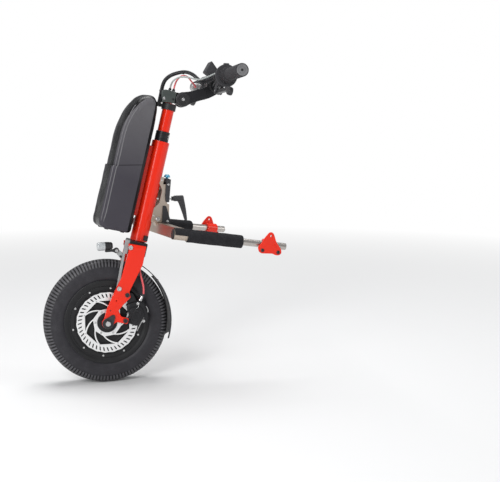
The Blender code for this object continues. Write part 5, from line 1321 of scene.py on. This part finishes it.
cap_side = mm((91.7, 24), (104, 22.5), (111, 12), (112, -10), (106, -18.5), (91.7, -20))
cap = Piece(STEM)
cap.slab(cap_side, 0.004, 0.040, 0.0016, at(x=90))
for y in (-0.0125, 0.0125):
    cap.screw(0.0034, 0.0026, at((0.1060, y, 0.0165), y=62), 1)
    cap.screw(0.0034, 0.0026, at((0.1070, y, -0.0150), y=118), 1)
cap.done("bar_clamp_cap", "stem", "black_anodised", [ANODISED, STEEL], ["stem_faceplate"])

# %% [markdown]
# ## The handlebar and its controls
# The bar is one bent tube, thicker in the middle where the stem holds it. Each end carries a
# lever perch and a rubber grip. The left end also has the twist throttle, and the right one a
# silver reservoir. Each side has its own frame, so one loop draws both.

# %% Handlebar
def bar_spot(y):
    """The middle of the bar at a distance from its centre."""
    beyond = max(0, abs(y) - GRIP_START)
    rise = GRIP_RISE * eased(abs(y), 0.035, GRIP_START) + GRIP_SLOPE * beyond
    return Vector((GRIP_SWEEP * beyond, y, rise))


BAR_HALF = 0.3
BAR_STEPS = 150
stations = [BAR_HALF * (2 * step / BAR_STEPS - 1) for step in range(BAR_STEPS + 1)]
thickness = [0.0111 + 0.0048 * (1 - eased(abs(y), 0.0215, 0.0330)) for y in stations]
handlebar = Piece(BAR)
handlebar.add(rod([bar_spot(y) for y in stations], thickness, 32))
handlebar.done("bent_handlebar", "stem", "black_anodised", [ANODISED], ["handlebar"])

# %% Grips and throttle
END_GREY = rubber("grip_end_rubber", (0.15, 0.15, 0.155), 0.55, 900.0)
for side, word in SIDES:
    end = bar_end(side)
    outwards = at(x=side * -90)
    start = 0.0888 if side < 0 else 0.0483
    close = 0.2085
    profile = [(0.0114, start), (0.0158, start), (0.0165, start + 0.0008), (0.0165, start + 0.004)]
    ribs = int((close - 0.012 - start) / 0.0040)
    for rib in range(1, ribs):
        height = start + 0.002 + 0.0040 * rib
        profile += [(0.0165, height), (0.0165, height + 0.0022), (0.0157, height + 0.0028),
                    (0.0157, height + 0.0036)]
    profile += [(0.0165, close - 0.0085), (0.0165, close - 0.0025), (0.0155, close - 0.0005),
                (0.0140, close - 0.0005), (0.0114, close - 0.0010)]
    grip = Piece(end)
    grip.add(turned(profile, 48, True), outwards)
    cap_rings = [(0, close - 0.0016), (0.0030, close - 0.0016), (0.0036, close), (0.0070, close),
                 (0.0076, close - 0.0007), (0.0092, close - 0.0007), (0.0098, close),
                 (0.0132, close), (0.0142, close - 0.0008), (0.0142, close - 0.0030),
                 (0, close - 0.0030)]
    grip.lathe(cap_rings, 0.0002, 48, outwards, 1)
    grip.screw(0.0026, 0.0008, outwards @ at((0, 0, close - 0.0012)), 2)
    grip.done(f"ribbed_grip_{word}", "stem", "black_rubber", [GRIP, END_GREY, DARK],
              [f"grip_{word}"])

gear = []
for rib in range(30):
    for share, radius in ((0.05, 0.0205), (0.45, 0.0205), (0.58, 0.0192), (0.92, 0.0192)):
        gear.append(polar(radius, 12 * (rib + share)))
throttle = Piece(bar_end(-1))
throttle.add(plate(gear, 0.0400, 0.0012, [ring((0, 0), 0.0114, 40)]), upright(-0.0684))
throttle.done("ribbed_throttle", "throttle_sleeve", "black_rubber", [GRIP], ["throttle_sleeve"])

# %% Perches and levers
LEVER_DROP = 0.0405
HOUSINGS = {
    "left": mm((11.4, 4), (15, 4), (16, 5.2), (16, 20), (19, 30), (26.2, 39.6), (28.2, 40.5),
               (29, 41.5), (29, 44), (28.4, 44.4), (29, 44.8), (29, 46.8), (28, 48), (11.4, 48)),
    "right": mm((11.4, 4), (15, 4), (16, 5.2), (16, 28.5), (18.4, 30), (19, 31.2), (19, 47),
                (18, 48), (11.4, 48)),
}
for side, word in SIDES:
    perch = Piece(bar_end(side))
    perch.lathe(HOUSINGS[word], 0.0008, 56, at(x=side * -90), closed=True)
    perch.box((0.019, 0.024, 0.016), 0.0020, at((-0.005, side * 0.015, -0.0198)))
    shoulder = mm((-12, -26), (12, -26), (12, -40), (7, -47.5), (-7, -47.5), (-12, -40))
    for x in (-0.0130, 0.0030):
        perch.slab(shoulder, 0.004, 0.0030, 0.0007, at((x, side * 0.015, 0)) @ FACING_REAR)
    perch.add(rod([(-0.0150, side * 0.015, -LEVER_DROP), (0.0050, side * 0.015, -LEVER_DROP)],
                  0.0026, 20), paint=1)
    perch.add(rod([(-0.005, side * 0.0045, 0.0158), (-0.005, side * 0.0255, 0.0158)], 0.0022, 12))
    for y in (0.0070, 0.0230):
        perch.screw(0.0026, 0.0020, at((0.0135, side * y, -0.009), y=90), 1)
    if side < 0:
        inlet = mm((0, -7), (6.2, -7), (7, -6.2), (7, 4), (6.4, 7), (0, 7))
        perch.lathe(inlet, 0.0006, 28, at((-0.0195, -0.011, -0.006)) @ AXIS_Y, 2)
        perch.box((0.0150, 0.0070, 0.0090), 0.0022, at((-0.006, -0.0443, 0.0265), y=-12))
    else:
        tank = mm((0, -19), (7.8, -19), (9, -17.8), (9, -12), (8.5, -11.5), (9, -11), (9, 17.8),
                  (7.8, 19), (0, 19))
        perch.lathe(tank, 0.0004, 36, at((-0.030, 0.031, -0.020)) @ AXIS_Y, 3)
        perch.box((0.024, 0.020, 0.012), 0.0020, at((-0.018, 0.026, -0.014)), 3)
        perch.box((0.0150, 0.0270, 0.0040), 0.0014, at((-0.030, 0.032, -0.0115)), 3)
        for y in (0.0220, 0.0420):
            perch.screw(0.0018, 0.0012, at((-0.030, y, -0.0096)), 1)
    perch.done(f"lever_perch_{word}", "stem", "black_plastic", [SOFT_BLACK, STEEL, BLACK, CAST],
               [f"control_body_{word}"])

    hinge = bar_end(side) @ at((-0.005, side * 0.015, -LEVER_DROP))
    blade = arc((0, 0), 0.0085, 100, 260, 14)
    blade += mm((20, -5.8), (108, -7), (128, -18.5), (143, -19.5), (149, -11.5), (145, -0.5),
                (122, 4.2), (60, 3), (20, 4.8))
    # The groove is not cut into the blade: a black strip, a little proud of it, stands in for it as
    # painted shade.
    groove = mm((24, -3), (102, -4), (112, -0.8), (60, -0.4), (24, 1.8))
    if side < 0:
        blade = [(-across, up) for across, up in blade]
        groove = [(-across, up) for across, up in groove]
    pull = Piece(hinge)
    pull.slab(blade, 0.007, 0.0118, 0.0030, FACING_REAR)
    pull.slab(groove, 0.0015, 0.0124, 0.0005, FACING_REAR, 1)
    pull.done(f"brake_blade_{word}", f"brake_lever_{word}", "dark_metal", [DARK, BLACK],
              [f"brake_lever_{word}"])

# %% Display
display = Piece(BAR)
clamp_ring = mirrored(mm((11.4, -5), (14.2, -5), (15, -4.2)))
display.add(turned(clamp_ring, 48, True), at((0, -0.029, 0)) @ AXIS_Y, 1)
case_side = mm((-41.2, 28), (-31.5, 60), (-1, 33.8), (-11.2, 15.7))
display.slab(case_side, 0.0045, 0.0440, 0.0022, upright(-0.043))
neck = mm((-11.5, 1), (-3, 13.5), (-8, 26), (-26, 26), (-18, 2))
display.slab(neck, 0.002, 0.010, 0.0008, upright(-0.029), 1)
FACE = at((-0.0160, -0.043, 0.0471), y=40.8)
display.box((0.0370, 0.0448, 0.0042), 0.0012, FACE @ at((0, 0, -0.0030)), 1)
glass = mirrored(mm((-16.5, -19.5), (8.5, -19.5)))
display.slab(glass, 0.0025, 0.0008, 0.0003, FACE @ at((0, 0, -0.0006)), 2)
for y in (-0.012, 0, 0.012):
    display.add(screw_head(0.0026, 0.0012, 0.25), FACE @ at((0.0132, y, -0.0010)), 0)
display.screw(0.0028, 0.0020, at((-0.0100, -0.0242, 0.0200), x=-90), 3)
display.done("tilting_display", "display", "black_plastic", [SOFT_BLACK, BLACK, SCREEN, STEEL],
             ["display"])

# %% [markdown]
# ## The cables over the steering head
# The cable bundle rises in front of the block and arches over to the left perch, with two hoses
# behind it. They cross the stem's pivot, so they are joined to no body and stay where they are
# drawn. The bundle is three cables laid together.

# %% Cable bundle and hoses
from_bar = FORK.inverted() @ BAR
BUNDLE_END = from_bar @ Vector((-0.0195, -0.0984, 0.0150))
LEFT_END = from_bar @ Vector((-0.0115, -0.0984, 0.0290))
RIGHT_END = from_bar @ Vector((-0.0300, 0.1064, 0.0010))
BUNDLE = mm((-29, 0, 597.3), (-29, 0, 612), (-29, 0, 628), (-29, 0, 642), (-26.2, 0, 656),
            (-19.5, 0, 667), (-10, 0, 676), (3, 0, 684), (17, -1, 690), (30, -4, 691.5),
            (43.5, -11, 688), (53, -22, 681), (60, -38, 675), (68, -60, 673), (77.5, -74.5, 678.5))
BUNDLE += [BUNDLE_END + Vector(away) for away in mm((0, 12, 0), (0, 6, 0), (0, 0, 0))]
LEFT_HOSE = mm((-7.5, 0, 641.3), (-7.5, 0, 645), (-7.5, 0, 649), (-4, -7, 662), (10, -16, 674),
               (30, -32, 676.5), (52, -52, 675), (70.5, -70, 685), (86, -84, 697))
LEFT_HOSE += [LEFT_END + Vector(away) for away in mm((0, 8, 0), (0, 4, 0), (0, 0, 0))]
RIGHT_HOSE = mm((2.5, 0, 641.3), (2.5, 0, 645), (2.5, 0, 649), (6.5, 8, 666), (19, 24, 682.5),
                (38, 48, 687), (58, 78, 680))
RIGHT_HOSE += [RIGHT_END + Vector(away) for away in mm((0, -8, 1), (0, -4, 0), (0, 0, 0))]


def strands(route, count, offset, radius, turns):
    """Cables laid side by side round a route, turning slowly about it."""
    points = smooth_route(route, 0.005)
    shapes = []
    for strand in range(count):
        line = []
        for index, (spot, heading) in enumerate(zip(points, headings(points))):
            across = Vector((0.2, 1, 0.1)).cross(heading).normalized()
            up = heading.cross(across)
            angle = 2 * math.pi * (strand / count + turns * index / len(points))
            line.append(spot + offset * (across * math.cos(angle) + up * math.sin(angle)))
        shapes.append(rod(line, radius, 14))
    return shapes


def bending(name, slot, finishes, nodes, shapes):
    """A cord over the stem's pivot."""
    cord = Piece(Matrix())
    for shape, paint in shapes:
        cord.add(shape, FORK, paint)
    item = cord.done(name, None, slot, finishes, nodes, even=False)
    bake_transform(item)


TIES = [(Vector((0.0170, -0.001, 0.690)), Vector((1, -0.05, 0.25)).normalized()),
        (Vector((-0.029, 0, 0.628)), Vector((0, 0, 1)))]
ties = [rod([spot - heading * 0.002, spot + heading * 0.002], 0.0056, 20)
        for spot, heading in TIES]
bending("laid_cable_bundle", "black_rubber", [CABLE, BLACK], ["cable_bundle"],
        [(shape, 0) for shape in strands(BUNDLE, 3, 0.0029, 0.0026, 0.35)]
        + [(shape, 1) for shape in ties])
bending("grey_brake_hose", "grey_hose", [HOSE_GREY], ["hose_left"],
        [(rod(smooth_route(LEFT_HOSE, 0.004), 0.0022, 14), 0)])
bending("red_brake_hose", "red_hose", [HOSE_RED], ["hose_right"],
        [(rod(smooth_route(RIGHT_HOSE, 0.004), 0.0022, 14), 0)])

# %% [markdown]
# ## Inside the object
# The bearings, the windings, the battery and its electronics are hidden, but they show in a
# section or an exploded view. Their CAD meshes are right, so they only get better finishes.

# %% Finishes for the hidden solids
HIDDEN = {"stator": COPPER, "bearing_upper": STEEL, "bearing_lower": STEEL,
          "battery_pack": LINING, "motor_controller": EDGE_GREY, "brake_pad": PAD}
for node, finish in HIDDEN.items():
    solid = frame["nodes"][node]
    if not solid.material_slots:
        solid.data.materials.append(finish.material)
    for material_slot in solid.material_slots:
        material_slot.material = finish.material
print("refinished", sorted(HIDDEN))

# %% [markdown]
# ## The studio
# The photograph has a white ground with a soft shadow. A large pale floor catches the shadow and
# fades into the background. Three wide lamps light the whole, and an upright one on the left gives
# the tubes their long highlight. The white that the camera sees comes from the world's colour, not
# from more light, and mirrors see a part of it.

# %% Floor, world and lamps
BACKDROP = (1.0, 1.0, 1.0)
IN_MIRRORS = 0.18
floor_mesh = bmesh.new()
bmesh.ops.create_grid(floor_mesh, x_segments=2, y_segments=2, size=14)
floor = placed("floor", as_mesh("floor", floor_mesh))
ground = Finish("pale_floor", (0.97, 0.97, 0.97), 0.80, 0.0, Specular_IOR_Level=0.1)
floor.data.materials.append(ground.material)
glow = ground.node("Emission", None, {"Color": (*BACKDROP, 1), "Strength": 1.0})
distance = ground.node("VectorMath", {"operation": "LENGTH"}, {0: ground.spot()}, 1)
painted = Signal(ground, ground.shader.outputs[0])
faded = ground.node("MixShader", None, {0: distance.fade(1.0, 3.2), 1: painted, 2: glow})
ground.feed(ground.tree.nodes["Material Output"].inputs["Surface"], faded)

world = bpy.data.worlds.new("studio")
bpy.context.scene.world = world
world.use_nodes = True
studio = Network(world.node_tree)
rays = studio.node("LightPath").socket.node.outputs
camera_ray, glass_ray, mirror_ray = [Signal(studio, rays[f"Is {kind} Ray"])
                                     for kind in ("Camera", "Transmission", "Glossy")]
seen = camera_ray.maths("MAXIMUM", camera_ray, glass_ray)
seen = seen.maths("MAXIMUM", seen, mirror_ray * IN_MIRRORS)
light = studio.node("Background", None, {"Color": (0.95, 0.97, 1.0, 1), "Strength": 0.30})
backdrop = studio.node("Background", None, {"Color": (*BACKDROP, 1)})
both = studio.node("MixShader", None, {0: seen, 1: light, 2: backdrop})
studio.feed(studio.tree.nodes["World Output"].inputs["Surface"], both)


def lamp_panel(name, place, aim, width, height, watts):
    """A wide soft lamp that points at a spot."""
    light = bpy.data.lights.new(name, "AREA")
    light.shape = "RECTANGLE"
    light.size, light.size_y = width, height
    light.energy = watts
    item = placed(name, light)
    item.location = place
    item.rotation_euler = (Vector(aim) - Vector(place)).to_track_quat("-Z", "Y").to_euler()


lamp_panel("key_panel", (-2.2, -2.4, 2.6), (0, 0, 0.4), 1.3, 1.3, 52)
lamp_panel("side_panel", (2.6, -1.6, 1.8), (0, 0, 0.4), 1.0, 2.2, 18)
lamp_panel("top_panel", (0.2, 0.6, 3.2), (0, 0, 0.3), 2.4, 1.6, 80)
lamp_panel("strip_panel", (-2.0, -1.5, 0.9), (0, 0, 0.45), 0.8, 2.0, 26)
bpy.context.scene.view_settings.view_transform = "Standard"
